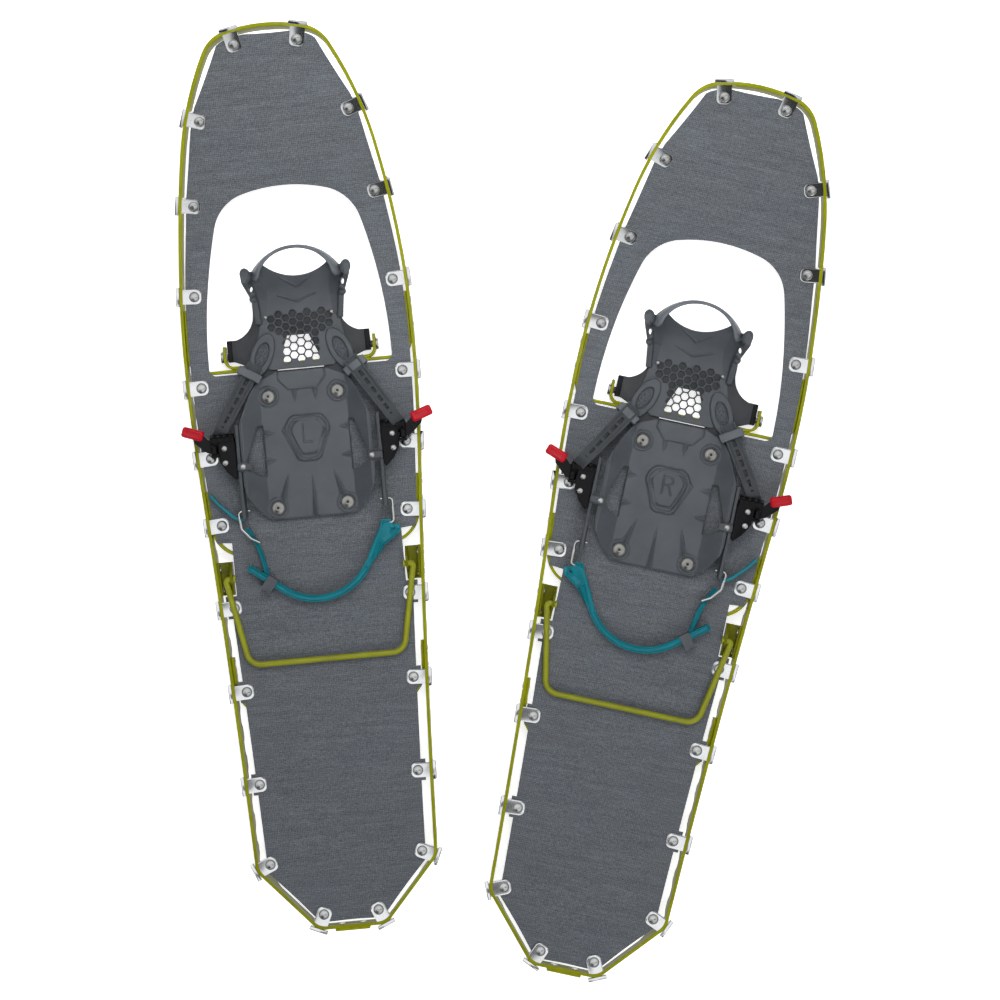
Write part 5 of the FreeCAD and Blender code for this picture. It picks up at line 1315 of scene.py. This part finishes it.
class SHOE_OT_stage(bpy.types.Operator):
    """Floor, soft lights and the camera straight above"""
    bl_idname = "snowshoes.stage"
    bl_label = "Stage"

    def execute(self, context):
        scene = context.scene
        looks = scene.snowshoes
        left = JOINTS["left_binding_pivot"]["pos_m"]
        data = bpy.data.cameras.new("camera")
        data.lens = CAMERA_LENS
        data.sensor_width = 36
        data.clip_end = 100
        camera = bpy.data.objects.new("camera", data)
        scene.collection.objects.link(camera)
        camera.location = (left[0] + CAMERA_BESIDE[0], left[1] + CAMERA_BESIDE[1], looks.camera_height)
        camera.rotation_euler = (0, 0, math.radians(CAMERA_TURN))
        scene.camera = camera

        form = bmesh.new()
        bmesh.ops.create_grid(form, x_segments=1, y_segments=1, size=FLOOR_HALF)
        floor = made(form, "floor")
        floor.data.materials.append(floor_paper())

        scene.world = studio_walls()
        for name, spot, aim, size, power, spread in LAMPS:
            lamp = bpy.data.lights.new(name, "AREA")
            lamp.shape = "SQUARE"
            lamp.size = size
            lamp.energy = power
            lamp.spread = math.radians(spread)
            item = bpy.data.objects.new(name, lamp)
            item.location = spot
            item.rotation_euler = (Vector((0, aim, 0)) - Vector(spot)).to_track_quat("-Z", "Y").to_euler()
            item.visible_camera = False
            item.visible_glossy = False
            scene.collection.objects.link(item)
        scene.view_settings.view_transform = "Standard"
        return {"FINISHED"}


class SHOE_OT_painted(bpy.types.Operator):
    """Frame, crossmembers, brackets and heel lift in powder coat"""
    bl_idname = "snowshoes.painted"
    bl_label = "Painted metal"

    def execute(self, context):
        return both_shoes(make_painted)


class SHOE_OT_deck(bpy.types.Operator):
    """The two decks, stretched cloth"""
    bl_idname = "snowshoes.deck"
    bl_label = "Deck cloth"

    def execute(self, context):
        return both_shoes(make_deck)


class SHOE_OT_clips(bpy.types.Operator):
    """The folded metal clips that hold the deck"""
    bl_idname = "snowshoes.clips"
    bl_label = "Deck clips"

    def execute(self, context):
        return both_shoes(make_clips)


class SHOE_OT_fasteners(bpy.types.Operator):
    """Every rivet, screw and stud"""
    bl_idname = "snowshoes.fasteners"
    bl_label = "Rivets and screws"

    def execute(self, context):
        return both_shoes(make_fasteners)


class SHOE_OT_crampon(bpy.types.Operator):
    """The toothed plates under the bindings"""
    bl_idname = "snowshoes.crampon"
    bl_label = "Crampons"

    def execute(self, context):
        return both_shoes(make_crampon)


class SHOE_OT_pivots(bpy.types.Operator):
    """Pins and bushings that the bindings turn on"""
    bl_idname = "snowshoes.pivots"
    bl_label = "Pivots"

    def execute(self, context):
        return both_shoes(make_pivots)


class SHOE_OT_plate(bpy.types.Operator):
    """The moulded floors with their foot marks"""
    bl_idname = "snowshoes.plate"
    bl_label = "Binding floors"

    def execute(self, context):
        return both_shoes(make_plate)


class SHOE_OT_cradle(bpy.types.Operator):
    """The honeycomb cradles with their horns"""
    bl_idname = "snowshoes.cradle"
    bl_label = "Toe cradles"

    def execute(self, context):
        return both_shoes(make_cradle)


class SHOE_OT_toe_strap(bpy.types.Operator):
    """The elastic arches in front of the toe"""
    bl_idname = "snowshoes.toe_strap"
    bl_label = "Toe straps"

    def execute(self, context):
        return both_shoes(make_toe_strap)


class SHOE_OT_instep(bpy.types.Operator):
    """The ladder straps and the loops round them"""
    bl_idname = "snowshoes.instep"
    bl_label = "Instep straps"

    def execute(self, context):
        return both_shoes(make_instep)


class SHOE_OT_arms(bpy.types.Operator):
    """The arms that run back to the heel strap"""
    bl_idname = "snowshoes.arms"
    bl_label = "Side arms"

    def execute(self, context):
        return both_shoes(make_arms)


class SHOE_OT_buckles(bpy.types.Operator):
    """The buckle bases"""
    bl_idname = "snowshoes.buckles"
    bl_label = "Buckles"

    def execute(self, context):
        return both_shoes(make_buckles)


class SHOE_OT_levers(bpy.types.Operator):
    """The levers and their grips"""
    bl_idname = "snowshoes.levers"
    bl_label = "Levers"

    def execute(self, context):
        return both_shoes(make_levers)


class SHOE_OT_heel_strap(bpy.types.Operator):
    """The heel straps, their tails and keepers"""
    bl_idname = "snowshoes.heel_strap"
    bl_label = "Heel straps"

    def execute(self, context):
        return both_shoes(make_heel_strap)


class SHOE_OT_hooks(bpy.types.Operator):
    """The wire hooks of the heel straps"""
    bl_idname = "snowshoes.hooks"
    bl_label = "Strap hooks"

    def execute(self, context):
        return both_shoes(make_hooks)


class SHOE_PT_panel(bpy.types.Panel):
    """Lists the pieces and their sizes"""
    bl_label = "Snowshoes"
    bl_idname = "SHOE_PT_panel"
    bl_space_type = "VIEW_3D"
    bl_region_type = "UI"
    bl_category = "Snowshoes"

    def draw(self, context):
        for key in SnowshoeSettings.__annotations__:
            self.layout.prop(context.scene.snowshoes, key)
        for operator in OPERATORS:
            self.layout.operator(operator.bl_idname)


OPERATORS = (SHOE_OT_stage, SHOE_OT_painted, SHOE_OT_deck, SHOE_OT_clips, SHOE_OT_fasteners, SHOE_OT_crampon,
             SHOE_OT_pivots, SHOE_OT_plate, SHOE_OT_cradle, SHOE_OT_toe_strap, SHOE_OT_instep,
             SHOE_OT_arms, SHOE_OT_buckles, SHOE_OT_levers, SHOE_OT_heel_strap, SHOE_OT_hooks)
CLASSES = (SnowshoeSettings, *OPERATORS, SHOE_PT_panel)


def register():
    for item in CLASSES:
        bpy.utils.register_class(item)
    bpy.types.Scene.snowshoes = PointerProperty(type=SnowshoeSettings)


def unregister():
    del bpy.types.Scene.snowshoes
    for item in reversed(CLASSES):
        bpy.utils.unregister_class(item)


def main():
    """Makes every piece in order."""
    register()
    for operator in OPERATORS:
        getattr(bpy.ops.snowshoes, operator.bl_idname.split(".")[1])()


if __name__ == "__main__":
    main()
